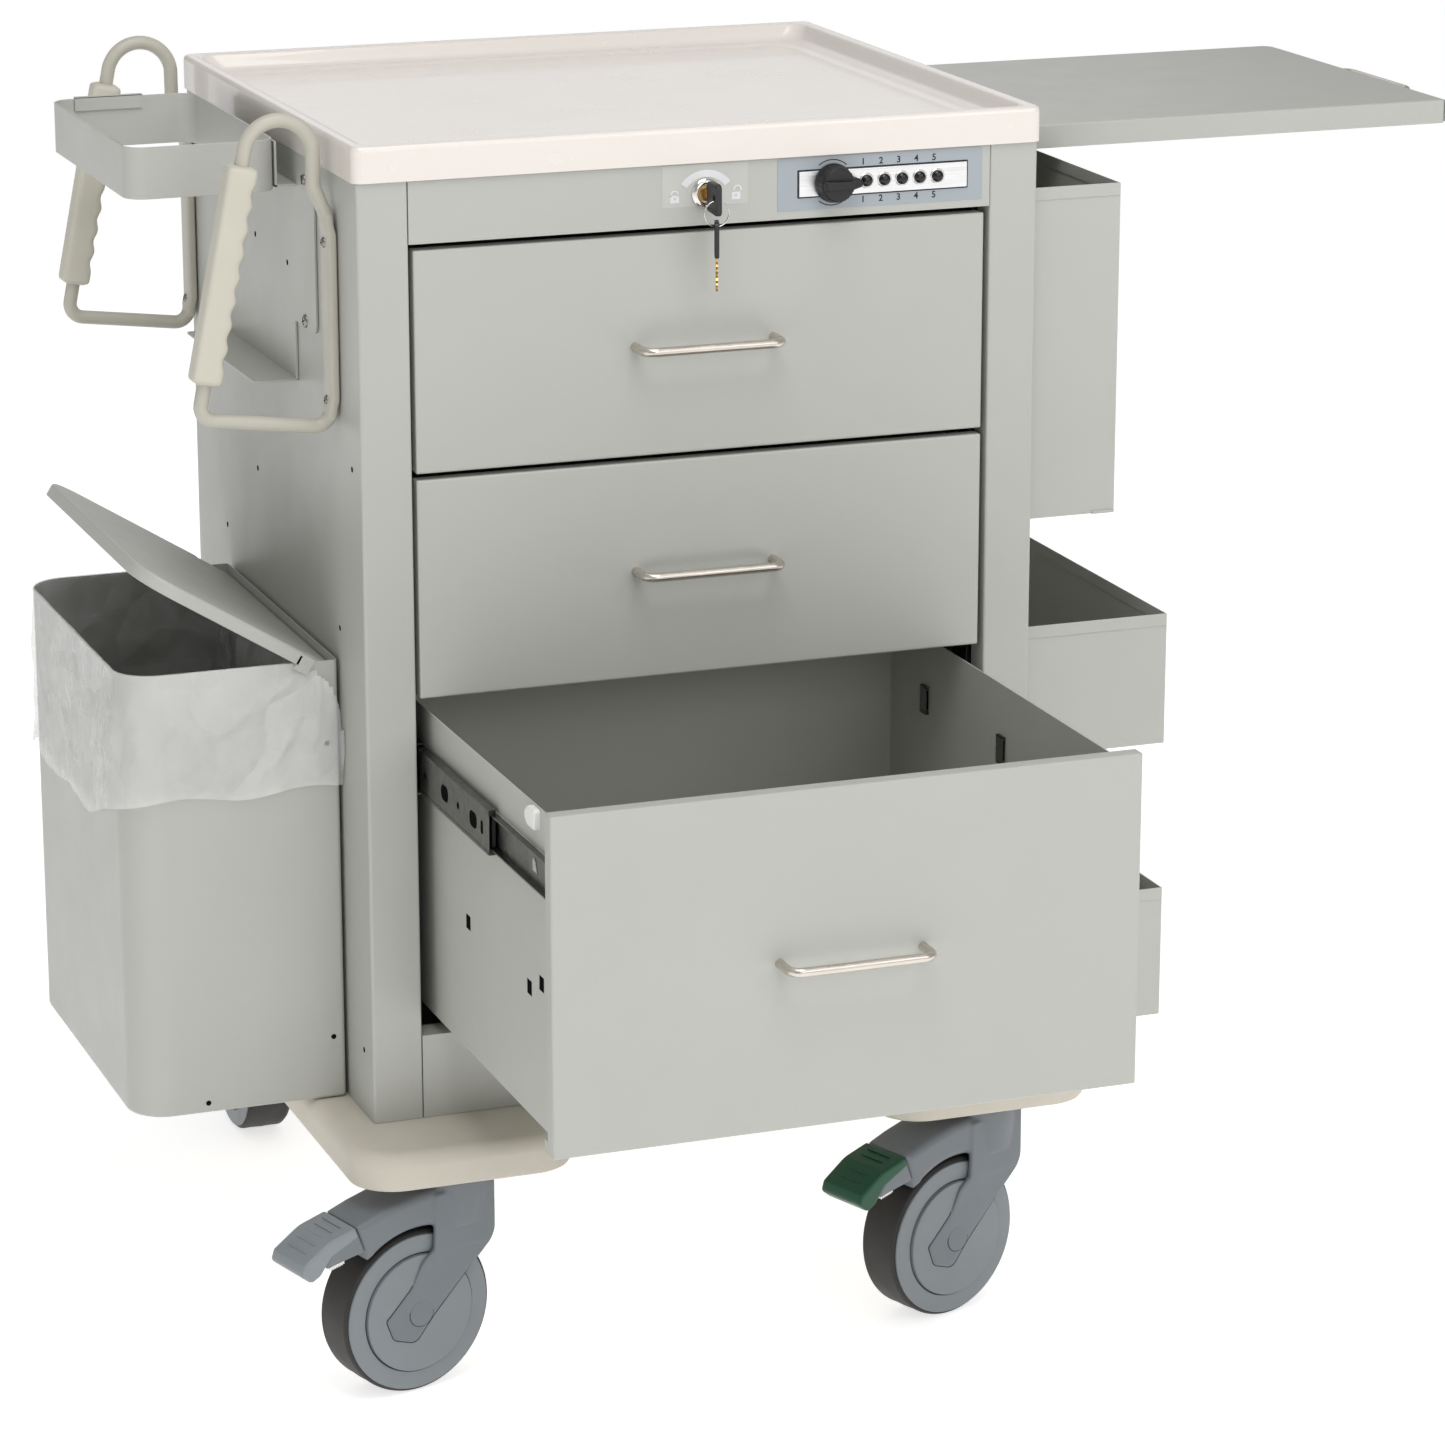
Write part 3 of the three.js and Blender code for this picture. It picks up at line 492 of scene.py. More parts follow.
tinted(DECAL, 80, 0.02)
DECAL_FILM = new_material("decal_film", None, (0.5, 0.505, 0.47), 0.3)
tinted(DECAL_FILM, 20, 0.01)
NYLON = moulded("caster_plastic", "caster_plastic", (0.155, 0.172, 0.187), 0.44, 0.03, 800)
NYLON_DISC = moulded("caster_disc", "caster_plastic", (0.2, 0.22, 0.235), 0.46, 0.02, 800)
PEDAL_GRAY = moulded("pedal_gray", "pedal_gray", (0.225, 0.248, 0.268), 0.45, 0.03, 900)
PEDAL_GREEN = moulded("pedal_green", "pedal_green", (0.001, 0.062, 0.024), 0.38, 0.03, 900)
RUBBER = moulded("tyre_rubber", "tyre_rubber", (0.022, 0.019, 0.017), 0.6, 0.06, 500)
# Black plastic of the slides' ball cages; the casters' dark seam, groove and gap rings use it as painted shade.
DARK = moulded("black_plastic_and_gap_shade", None, (0.012, 0.013, 0.012), 0.5, 0.02, 900)
SHADOW = new_material("hole_shade", None, (0.008, 0.008, 0.008), 0.9, specular_ior_level=0.0)
tinted(SHADOW, 60, 0.1)
CLIP_WHITE = moulded("clip_white", None, (0.8, 0.8, 0.78), 0.35, 0.02, 900)


# ---- stage, lights and camera ----
def make_stage():
    mesh = bpy.data.meshes.new("floor")
    reach = 30
    mesh.from_pydata([(-reach, -reach, 0), (reach, -reach, 0), (reach, reach, 0), (-reach, reach, 0)], [],
                     [[0, 1, 2, 3]])
    floor = linked("floor", mesh)
    paper = new_material("floor_paper", None, (0.8, 0.8, 0.8), 0.9, specular_ior_level=0.1)
    shader = paper.node_tree.nodes["Principled BSDF"]
    shader.inputs["Emission Color"].default_value = (1, 1, 1, 1)
    shader.inputs["Emission Strength"].default_value = 0.66
    tinted(paper, 0.7, 0.004)
    mesh.materials.append(paper)


def soft_light(name, position, target, size, power):
    lamp = bpy.data.lights.new(name, "AREA")
    lamp.shape = "RECTANGLE"
    lamp.size, lamp.size_y = size
    lamp.energy = power
    made = linked(name, lamp)
    made.location = place(position)
    made.rotation_euler = (place(target) - place(position)).to_track_quat("-Z", "Y").to_euler()


def make_lights():
    middle = (311, 279, 400)
    soft_light("key", (2200, -3200, 2300), middle, (1.6, 2.2), 21)
    soft_light("front", (520, -4200, 1850), middle, (1.6, 1.6), 22)
    soft_light("high", (0, -1500, 3800), middle, (2.2, 2.2), 68)
    soft_light("fill", (-3600, -1500, 1500), middle, (2.2, 2.6), 6)
    soft_light("back", (1500, 4200, 2400), middle, (2.5, 2.5), 10)
    world = bpy.data.worlds.new("studio")
    bpy.context.scene.world = world
    world.use_nodes = True
    tree = world.node_tree
    background = tree.nodes["Background"]
    background.inputs["Color"].default_value = (1, 1, 1, 1)
    path = tree.nodes.new("ShaderNodeLightPath")
    strength = tree.nodes.new("ShaderNodeMapRange")
    strength.inputs["To Min"].default_value = 0.4
    strength.inputs["To Max"].default_value = 1.0
    tree.links.new(path.outputs["Is Camera Ray"], strength.inputs["Value"])
    tree.links.new(strength.outputs["Result"], background.inputs["Strength"])


CAMERA = {"spot": (-1163, -3991.3, 1561.1), "down": 16.055, "turn": -20.471, "lens": 124.92}


def make_camera():
    lens = bpy.data.cameras.new("camera")
    lens.lens = CAMERA["lens"]
    lens.sensor_width = 36
    lens.clip_end = 60
    camera = linked("camera", lens)
    camera.location = place(CAMERA["spot"])
    camera.rotation_euler = (math.radians(90 - CAMERA["down"]), 0, math.radians(CAMERA["turn"]))
    bpy.context.scene.camera = camera
    bpy.context.scene.view_settings.view_transform = "Standard"


# ---- cabinet ----
HIGH = span("side_panel_left")[1]
W = span("side_panel_right")[1].x
D, H = HIGH.y, HIGH.z
PILLAR = HIGH.x
SHEET = 1.5
RAIL_DEPTH = 7.05  # from a drawer box's outer face, which is its rail's, in to its side wall


def screw(name, x, y, z, turn, radius, body="cart", cross=True, slotted=False):
    """A pan-head screw on a face: its head, a washer ring and a dark recess."""
    spin = at(x, y, z, turn)
    head = lathe([(radius, 0), (radius, 0.5), (radius * 0.93, 1.3), (radius * 0.7, 2.1),
                  (radius * 0.35, 2.5)], 28)
    piece(f"{name}_head", moved(head, spin), SCREW, body)
    arm, half = radius * 0.55, radius * 0.1
    bars = [block(-arm, arm, -half, half, 1.9, 2.62, 0.05)]
    if cross:
        bars.append(block(-half, half, -arm, arm, 1.9, 2.62, 0.05))
    if slotted:
        bars = [block(-radius * 0.85, radius * 0.85, -half * 1.4, half * 1.4, 1.4, 2.58, 0.05)]
    tilt = Matrix.Rotation(math.radians(20), 4, "Z")
    piece(f"{name}_recess", moved(join(*bars), spin @ tilt), SHADOW, body)


def make_cabinet():
    section = [
        (0, 0, 3), (PILLAR, 0, 2), (PILLAR, 28, 1), (PILLAR - SHEET, 28), (PILLAR - SHEET, SHEET, 0.5),
        (SHEET, SHEET, 1.5), (SHEET, D - SHEET), (25, D - SHEET), (25, D, 0.5), (0, D, 3),
    ]
    skin = prism("xy", rounded(section, 5), 0.1, H, 0)
    piece("side_skin_left", skin, PAINT, "cart", ["side_panel_left"])
    right = prism("xy", rounded([(W - c[0], *c[1:]) for c in section][::-1], 5), 0.1, H, 0)
    made = piece("side_skin_right", right, PAINT, "cart", ["side_panel_right"])
    low, high = span("side_shelf")
    slot = block(W - 10, W + 10, low.y - 2, high.y + 2, low.z - 2, high.z + 2, 0)
    punched(made, "shelf_slot", slot)
    for node in ("back_panel", "bottom_panel", "header_panel"):
        dress(node, PAINT, 0.6)
    for node in ("slide_frame_left", "slide_frame_right", "shelf_tracks"):
        dress(node, ZINC, 0.35)


def make_screw_holes():
    """Small dark fixing holes left open on the cabinet's left side."""
    on_panel = [(28, 585), (76, 433), (450, 440), (336, 519), (28, 60), (530, 60)]
    on_plate = [(432, 735), (315, 739), (210, 732)]
    for i, (y, z) in enumerate(on_panel + on_plate):
        x = -0.02 if (y, z) in on_panel else -GAP - 2.02
        rim = lathe([(2.6, 0), (2.6, 0.12), (2.1, 0.25), (1.6, 0.1)], 20)
        piece(f"side_hole_{i + 1}", moved(rim, at(x, y, z, TO_LEFT)), SHADOW, "cart")


def make_tray():
    """One moulding: outer skirt, rounded rim, sloped wall and a soft step down to the floor."""
    low, high = span("top_tray")
    base, top, floor = low.z, high.z, low.z + 15
    steps = [(1.2, base), (0.2, base + 0.5), (0, base + 1.6), (0, top - 5), (0.5, top - 2.4),
             (1.7, top - 0.7), (3.2, top)]
    steps += [(8.5, top), (10.6, top - 0.5), (12.3, top - 1.9), (14.5, top - 6), (17.5, top - 11.2),
              (19.6, top - 13.6)]
    steps += [(22.5, top - 14.6), (30, top - 14.9), (34, floor + 1.4), (37, floor + 0.5), (41, floor)]
    rings = []
    for side, height in steps:
        corner = max(9 - side, 1.0) if side < 4 else 9 + 0.55 * side
        rings.append(on("xy", rect(low.x + side, high.x - side, low.y + side, high.y - side, corner, 8),
                        height))
    piece("tray_moulding", loft(rings), TRAY, "cart", ["top_tray"], sharp=50)


def make_bumper():
    """The base moulding with its four lobes, rounded over at the top and bottom."""
    low, high = span("base_bumper")
    lobe, recess, corner, inner = 203, 12, 42, 28
    x0, x1, front, back = low.x, high.x, low.y, high.y
    corners = [
        (x0, front, corner), (x0 + lobe, front, corner), (x0 + lobe, -recess, inner),
        (x1 - lobe, -recess, inner),
        (x1 - lobe, front, corner), (x1, front, corner), (x1, back, corner), (x1 - lobe, back, corner),
        (x1 - lobe, D + recess, inner), (x0 + lobe, D + recess, inner), (x0 + lobe, back, corner),
        (x0, back, corner),
    ]
    outline = rounded(corners, 10)
    steps = [(5, low.z), (1.8, low.z + 0.9), (0.3, low.z + 3)]
    steps += [(1.2, -13), (1.6, -10.5), (2.8, -7.2), (4.8, -4.2), (7.6, -1.8), (11, -0.6), (15, -0.25)]
    piece("bumper_moulding", loft([on("xy", inset(outline, side), z) for side, z in steps]), BUMPER, "cart",
          ["base_bumper"], sharp=60)


# ---- drawers ----
def make_pull(name, node, body, material, plane):
    """A bent wire pull, flat on its face, from the CAD pull's box."""
    low, high = span(node)
    z = (low.z + high.z) / 2
    radius = 4
    if plane == "face":
        ends = [(low.x + radius, high.y + GAP), (high.x - radius, high.y + GAP)]
        far = low.y + radius
        route = [(ends[0][0], ends[0][1], z), (ends[0][0], far, z), (ends[1][0], far, z),
                 (ends[1][0], ends[1][1], z)]
    else:
        near, far = low.x - GAP, high.x - radius
        route = [(near, low.y + radius, z), (far, low.y + radius, z), (far, high.y - radius, z),
                 (near, high.y - radius, z)]
    piece(name, tube(filleted(route, 11, 10), radius, (0, 0, 1), 24), material, body, [node], sharp=50)


def make_drawers():
    for drawer in DRAWERS:
        body = f"drawer_{drawer}"
        low, high = span(f"drawer_front_{drawer}")
        outline = rect(low.x, high.x, low.z, high.z, 1.4, 3)
        face = pan("xz", outline, low.y, high.y, SHEET, 1.8)
        piece(f"drawer_face_{drawer}", face, PAINT, body, [f"drawer_front_{drawer}"])
        make_pull(f"pull_{drawer}", f"drawer_pull_{drawer}", body, STEEL, "face")
        dress(f"drawer_box_{drawer}", PAINT, 0.35)
        for side in SIDES:
            dress(f"slide_rail_{drawer}_{side}", ZINC, 0.3)


def make_drawer_fittings():
    """What the open bottom drawer shows: punched holes, clip, hem curls, and hooks with their slots."""
    low, high = span("drawer_box_bottom")
    left = low.x + RAIL_DEPTH
    for i, (y, z) in enumerate([(-93, 209), (-259, 204), (-291, 217)]):
        hole = block(left - 0.12, left + 0.3, y - 6, y + 6, z - 6.5, z + 6.5, 0.1)
        piece(f"box_hole_{i + 1}", hole, SHADOW, "drawer_bottom")
    outline = [(-292, 349, 3), (-274, 349, 3), (-267, 354, 2), (-267, 361, 2), (-274, 366.5, 3),
               (-292, 366.5, 3)]
    steps = [(left - 0.1, 0), (left - 4.6, 0.2), (left - 5.6, 0.9), (left - 6.2, 2.2)]
    clip = loft([on("yz", inset(rounded(outline, 3), side), x) for x, side in steps])
    piece("front_clip", clip, CLIP_WHITE, "drawer_bottom")
    face_low, face_high = span("drawer_front_bottom")
    for side, x in (("left", face_low.x + 1), ("right", face_high.x - 1)):
        curl = prism("xy", rounded([(x - 1, face_low.y + 13, 0.4), (x + 1, face_low.y + 13, 0.4),
                                    (x + 1, face_low.y + 22, 0.9), (x - 1, face_low.y + 22, 0.9)], 3),
                     face_low.z + 0.5, face_low.z + 12, 0.4)
        piece(f"front_hem_{side}", curl, PAINT, "drawer_bottom")
    right = high.x - RAIL_DEPTH
    for i, y in enumerate((92, -83)):
        spring = join(block(right - 4.6, right - 3.4, y - 7, y + 7, 296, 322, 0.3),
                      block(right - 4.6, right - 1.1, y - 7, y + 7, 320.6, 322, 0.3),
                      block(right - 4.6, right - 1.1, y - 7, y + 7, 296, 297.4, 0.3))
        piece(f"divider_hook_{i + 1}", spring, ZINC, "drawer_bottom")
        gap = block(right - 1.35, right - 1.1, y - 5, y + 5, 300, 318, 0.05)
        piece(f"divider_slot_{i + 1}", gap, SHADOW, "drawer_bottom")


def make_slide_details():
    """Oblong holes, ball retainers and tabs on the rails of each slide."""
    for drawer in DRAWERS:
        for side in SIDES:
            way = 1 if side == "left" else -1
            low, high = span(f"slide_rail_{drawer}_{side}")
            web = low.x if side == "left" else high.x
            z = (low.z + high.z) / 2
            front = low.y
            body = f"slides_{drawer}"
            rail = f"{drawer}_{side}"
            x0, x1 = sorted((web - way * 0.15, web + way * 0.3))
            holes = [(42, 10, 7), (18, 3, 6), (84, 3, 3), (122, 10, 7), (178, 3, 3), (236, 10, 6),
                     (330, 10, 6)]
            marks = [prism("yz",
                           rect(front + y - half, front + y + half, z - tall, z + tall,
                                min(half, tall) * 0.9, 5),
                           x0, x1, 0.08) for y, half, tall in holes]
            piece(f"rail_holes_{rail}", join(*marks), SHADOW, body)
            tall = (high.z - low.z) / 2
            edge = sorted((web - way * 0.5, web + way * 0.8))
            beads = [block(*edge, low.y + 0.4, high.y - 0.4, z + up * (tall - 2) - 1.6,
                           z + up * (tall - 2) + 1.6, 0.5)
                     for up in (-1, 1)]
            piece(f"rail_beads_{rail}", join(*beads), ZINC, body)
            lead = sorted((web + way * 0.2, web + way * 6.4))
            claws = [block(*lead, front - 0.6, front + 13, z + up * tall - 2.4, z + up * tall + 2.4, 0.8)
                     for up in (-0.84, 0.84)]
            bridge = sorted((web + way * 3.4, web + way * 6.2))
            claws.append(block(*bridge, front - 0.4, front + 30, z - tall * 0.66, z + tall * 0.66, 0.8))
            piece(f"ball_cage_{rail}", join(*claws), DARK, body)
            box_low, box_high = span(f"drawer_box_{drawer}")
            inner = box_low.x if side == "left" else box_high.x
            start = box_low.y
            wall = inner + way * RAIL_DEPTH
            mid, rail_end, tall = (high.z + low.z) / 2, start + 466, 15.5
            skins = [block(*sorted((wall - way * 1.45, wall - way * 0.9)), start + 0.4, rail_end,
                           mid - tall, mid + tall, 0.1)]
            for up in (-1, 1):
                edges = sorted((mid + up * (tall - 1.35), mid + up * (tall + 0.15)))
                skins.append(block(*sorted((wall - way * 7.15, wall - way * 1)), start + 0.4, rail_end,
                                   *edges, 0.2))
            piece(f"inner_rail_{rail}", join(*skins), ZINC, f"drawer_{drawer}")
            lip = sorted((inner + way * 4.9, inner + way * 5.7))
            tabs = [prism("yz",
                          rounded([(start + y - 5, z - 5), (start + y + 6, z - 5), (start + y + 6, z + 6, 2),
                                         (start + y, z + 6, 2)], 3), *lip, 0.15) for y in (18, 50)]
            piece(f"rail_tabs_{rail}", join(*tabs), CHROME, f"drawer_{drawer}")


# ---- side shelf ----
def make_shelf():
    low, high = span("side_shelf")
    corner = 10
    plate = 1.6
    outline = rounded([(low.x, low.y, 2), (high.x - plate, low.y, 3), (high.x - plate, high.y, corner),
                       (low.x, high.y, 2)], 6)
    piece("shelf_pan", pan("xy", outline, high.z, low.z, SHEET, 2.2, 5), PAINT, "shelf", ["side_shelf"])
    end = [(low.y + 1, low.z + 0.6, 3), (high.y - corner, low.z + 0.6, 3), (high.y - corner, high.z - 0.8, 3),
           (low.y + 1, high.z - 0.8, 3)]
    piece("shelf_end_plate", prism("yz", rounded(end, 4), high.x - plate + 0.5, high.x, 0.4), PAINT, "shelf")
    make_pull("shelf_wire_pull", "shelf_pull", "shelf", STEEL_ACROSS, "end")


# ---- push handles ----
HANDLE = {"planes": (68, 545), "tube": 6.35, "lean": math.radians(11.5), "bow": 30, "bow_z": 851.5,
          "inner": -17.5,
          "wall": -6.8, "elbow_z": 629, "low_z": 614.5}
WALL_BAR = (13, 4.5)  # half its width along the wall and half its thickness
GRIP_ENDS = (660, 845)


def grip_leg():
    """Where the leaning leg meets the bow, and where it is at a height."""
    bow_x = HANDLE["inner"] - HANDLE["bow"]
    top_x = bow_x - HANDLE["bow"] * math.cos(HANDLE["lean"])
    top_z = HANDLE["bow_z"] + HANDLE["bow"] * math.sin(HANDLE["lean"])
    return bow_x, (top_x, top_z), lambda z: top_x - (top_z - z) * math.tan(HANDLE["lean"])


def handle_path(y):
    bow_x, top, leg_x = grip_leg()
    flat = -GAP - WALL_BAR[1]
    lower = filleted([(HANDLE["wall"], y, 632), (HANDLE["wall"], y, HANDLE["low_z"]),
                      (leg_x(HANDLE["elbow_z"]), y, HANDLE["elbow_z"]), (top[0], y, top[1])], 13, 8)
    turn = math.pi - HANDLE["lean"]
    radius, bow_z = HANDLE["bow"], HANDLE["bow_z"]
    angles = [turn * (1 - k / 24) for k in range(1, 25)]
    bow = [Vector((bow_x + radius * math.cos(a), y, bow_z + radius * math.sin(a))) for a in angles]
    jog = filleted([bow[-1], (HANDLE["inner"], y, 823), (HANDLE["wall"], y, 798), (HANDLE["wall"], y, 790)],
                   12, 6)
    wall = [Vector((flat, y, z)) for z in (782, 774, 740, 700, 670, 652, 646, 640)]
    return jog[1:] + wall + lower + bow[:-1]


def handle_section(point):
    """Round tube that flattens into the bar against the wall."""
    flat = 0
    if point.x > -8.5:
        flat = min(1, max(0, (point.z - 612) / 24), max(0, (808 - point.z) / 22))
    flat = flat * flat * (3 - 2 * flat)
    wide = HANDLE["tube"] + (WALL_BAR[0] - HANDLE["tube"]) * flat
    thick = HANDLE["tube"] + (WALL_BAR[1] - HANDLE["tube"]) * flat
    power = 1 - 0.5 * flat
    section = []
    for k in range(36):
        c, s = math.cos(math.pi * k / 18), math.sin(math.pi * k / 18)
        section.append((wide * blunt(c, power), thick * blunt(s, power)))
    return section


def grip_shape(y):
    """A grip with a flat outer face, rounded back corners and finger scallops on its inner side."""
    leg_x = grip_leg()[2]
    low, high = (Vector((leg_x(z), y, z)) for z in GRIP_ENDS)
    way = (high - low).normalized()
    inward = Vector((way.z, 0, -way.x))
    length = (high - low).length
    stations, scallops, plain, cap_length = 96, 8, 12, 5
    deep, wide, power = 13.5, 12, 0.42
    rings = []
    for k in range(stations + 1):
        share = k / stations
        along = share * length
        end = min(along, length - along)
        cap = math.sqrt(max(0, 1 - (1 - min(end, cap_length) / cap_length) ** 2))
        shrink = 0.62 + 0.38 * cap
        wave = 0
        if plain < along < length - plain:
            wave = 0.5 - 0.5 * math.cos(2 * math.pi * scallops * (along - plain) / (length - 2 * plain))
        ring = []
        for i in range(40):
            a = 2 * math.pi * i / 40
            u = deep * blunt(math.cos(a), power)
            v = wide * blunt(math.sin(a), power)
            if u > 0:
                u -= 2.4 * wave * min(1, u / 8)
            ring.append(tuple(low + way * along + (inward * u + Vector((0, 1, 0)) * v) * shrink))
        rings.append(ring)
    return loft(rings)


def make_handles():
    for end, y in zip(ENDS, HANDLE["planes"]):
        skin = sweep(handle_path(y), handle_section, (0, 1, 0), loop=True)
        piece(f"handle_tube_{end}", skin, COATING, "cart", [f"push_handle_{end}"], sharp=60)
        for i, z in enumerate((775, 638)):
            screw(f"handle_screw_{end}_{i + 1}", -GAP - 2 * WALL_BAR[1] + 0.2, y, z, TO_LEFT, 4.6)
        piece(f"grip_{end}", grip_shape(y), GRIP, "cart", [f"handle_grip_{end}"], sharp=60)


# ---- sharps bracket ----
def make_bracket():
    low, high = span("sharps_ring")
    wall, corner = 2, 18
    outer = rect(low.x, high.x, low.y, high.y, corner, 8)
    inner = inset(outer, wall)
    edge = 0.4
    rings = [on("xy", outer, low.z + edge), on("xy", outer, high.z - edge)]
    rings += [on("xy", inset(outer, side), high.z) for side in (edge, wall - edge)]
    rings += [on("xy", inner, high.z - edge), on("xy", inner, low.z + edge)]
    rings += [on("xy", inset(outer, side), low.z) for side in (wall - edge, edge)]
    piece("ring_strap", loft(rings, loop=True), PAINT, "cart", ["sharps_ring"])
    mid = (low.x + high.x) / 2
    tab_x0, tab_x1 = low.x + 22, mid + 18
    tab = join(block(tab_x0, tab_x1, high.y - wall - 2.2, high.y - wall - 0.1, high.z - 11, high.z + 1.6,
                     0.4),
               block(tab_x0, tab_x1, high.y - wall - 2.2, high.y + 0.6, high.z + 0.2, high.z + 1.8, 0.4))
    piece("ring_tab", tab, PAINT, "cart")
    notch = block(low.x + wall - 0.1, low.x + wall + 0.9, low.y + corner + 2, low.y + corner + 44,
                  high.z - 12, high.z + 0.3, 0.3)
    piece("ring_lap", notch, PAINT, "cart")
    plate_low, plate_high = span("sharps_bracket")
    t = 2
    face = -GAP - t
    outline = rounded([(plate_low.y, 684, 9), (189, 684, 0.5), (189, 630, 1), (423, 630, 1), (423, 684, 0.5),
                       (plate_high.y, 684, 9), (plate_high.y, plate_high.z, 3),
                       (plate_low.y, plate_high.z, 3)], 6)
    piece("bracket_plate", prism("yz", outline, face, -GAP, 0.4), PAINT, "cart", ["sharps_bracket"])
    ledge = rounded([(-GAP, 189, 0.5), (-41, 189, 3), (-41, 423, 3), (-GAP, 423, 0.5)], 4)
    piece("bracket_ledge", prism("xy", ledge, 630, 632, 0.4), PAINT, "cart")
    arm = high.x + GAP
    rail = join(block(arm, -GAP, low.y + 10, high.y - 10, low.z + t, low.z + 2 * t, 0.3),
                block(arm, arm + t, low.y + 10, high.y - 10, low.z + t, high.z - 3, 0.3))
    piece("bracket_rail", rail, PAINT, "cart")
    for i, y in enumerate((155, 457)):
        screw(f"bracket_screw_{i + 1}", face, y, 690, TO_LEFT, 6)
    screw("bracket_screw_3", face, 150, 815, TO_LEFT, 4.5, slotted=True)


# ---- waste bin ----
WASTE = {"left": -196, "right": -3, "front": 76, "back": 441, "high": 405, "wall": 1.2, "corner": 35}


def waste_outline(out, steps=10):
    w = WASTE
    big, small = w["corner"] + out, max(0.6, 4 + out)
    corners = [(w["left"] - out, w["front"] - out, big), (w["right"] + out, w["front"] - out, small),
               (w["right"] + out, w["back"] + out, small), (w["left"] - out, w["back"] + out, big)]
    return rounded(corners, steps)


def make_waste_bin():
    high, wall = WASTE["high"], WASTE["wall"]
    steps = [(-5, 0.5), (-1.8, 1), (-0.5, 2.2), (0, 4.5), (0, high - 0.5), (-0.3, high), (-wall + 0.3, high)]
    steps += [(-wall, high - 0.5), (-wall, 6), (-2.2, 3), (-6, 1.9)]
    rings = [on("xy", waste_outline(out), z) for out, z in steps]
    piece("bin_shell", loft(rings), PAINT, "cart", ["waste_bin"], sharp=45)
    for i, (x, z) in enumerate([(-14, 58), (-130, 10), (-14, 330)]):
        dot = lathe([(2.4, 0), (2.4, 0.15), (1.7, 0.3), (1.2, 0.1)], 18)
        piece(f"bin_rivet_{i + 1}", moved(dot, at(x, WASTE["front"], z, TO_FRONT)), SHADOW, "cart")


LID = {"pin_x": -34.5, "pin_z": 401.5, "reach": 171.5, "tail": 27, "rise": 11.5, "lip": 12, "side": 4,
       "open": 32}


def make_lid():
    """The lid is shaped shut, then turned open about its pins."""
    wall = SHEET
    left, right = -LID["reach"], LID["tail"]
    front, back = WASTE["front"] - LID["side"], WASTE["back"] + LID["side"]
    top = LID["rise"]
    notch = 8.4

    def outline(inside):
        corner = 38 - inside
        return rounded([(left + inside, front + inside, corner), (-4 - inside, front + inside, 2),
                        (-4 - inside, front + notch + inside, 1), (right, front + notch + inside, 1.5),
                        (right, back - notch - inside, 1.5), (-4 - inside, back - notch - inside, 1),
                        (-4 - inside, back - inside, 2), (left + inside, back - inside, corner)], 8)

    bend = 3.2
    rings = []
    for k in range(7):
        a = math.pi / 2 * k / 6
        rings.append(on("xy", outline(bend * (1 - math.sin(a))), top - bend * (1 - math.cos(a))))
    rim = top - LID["lip"]
    rings += [on("xy", outline(0), rim + 0.3), on("xy", outline(0.4), rim),
              on("xy", outline(wall - 0.4), rim),
              on("xy", outline(wall), rim + 0.4), on("xy", outline(wall), top - wall)]
    ears = [block(-8, 6, *sorted((edge, edge + way * wall)), -5, top - 1, 0.4) for edge,
            way in ((front, 1), (back, -1))]
    shell = join(loft(rings), *ears)
    pins = [moved(lathe([(2, 0.6), (2, 7.4)], 24), at(0, y, 0, turn)) for y,
            turn in ((front, TO_BACK), (back, TO_FRONT))]
    hinge = at(LID["pin_x"], 0, LID["pin_z"], Matrix.Rotation(math.radians(LID["open"]), 4, "Y"))
    piece("lid_cover", moved(shell, hinge), PAINT, "lid", ["waste_lid"], sharp=45)
    piece("lid_pins", moved(join(*pins), hinge), SCREW, "lid")


def film_material():
    film = new_material("liner_film", "liner_film", (0.9, 0.9, 0.89), 0.24, coat_weight=0.25)
    field = noise_field(film, 11, 2, (1, 1, 0.7))
    spread(film, field, (0.35, 0.68), (0.3, 0.44), "Alpha")
    crumpled(film, (9, 21), (26, 6))
    return film


def crumpled(material, scales, depths):
    """Flat facets that meet in sharp creases, as in thin film, at two sizes."""
    tree = material.node_tree
    coordinates = add(material, "ShaderNodeTexCoord")
    wander = noise_field(material, 9, 3)
    shift = add(material, "ShaderNodeVectorMath")
    shift.operation = "MULTIPLY_ADD"
    shift.inputs[1].default_value = (0.05, 0.05, 0.05)
    tree.links.new(wander.outputs["Color"], shift.inputs[0])
    tree.links.new(coordinates.outputs["Object"], shift.inputs[2])
    last = None
    for scale, depth in zip(scales, depths):
        cells = add(material, "ShaderNodeTexVoronoi", Scale=scale)
        cells.feature = "DISTANCE_TO_EDGE"
        relief = add(material, "ShaderNodeBump", Strength=1.0, Distance=depth * MM)
        tree.links.new(shift.outputs["Vector"], cells.inputs["Vector"])
        tree.links.new(cells.outputs["Distance"], relief.inputs["Height"])
        if last:
            tree.links.new(last.outputs["Normal"], relief.inputs["Normal"])
        last = relief
    tree.links.new(last.outputs["Normal"], tree.nodes["Principled BSDF"].inputs["Normal"])


def liner_hem(x, y):
    """How low the outer skirt hangs at a place on the rim."""
    front = max(0, min(1, 1 - (y - 76) / 120))
    return 291 * front + 258 * (1 - front) - 3 * math.sin(x / 19) - 2 * math.sin(y / 23)


def liner_cut(x, y, z):
    """True where the film stays clear of the lid's tail and pins, along a round-cornered edge."""
    across, up = max(0, x + 58), max(0, z - 344)
    return z > 344 and x > -58 and (across / 54) ** 2.4 + (up / 62) ** 2.4 > 1


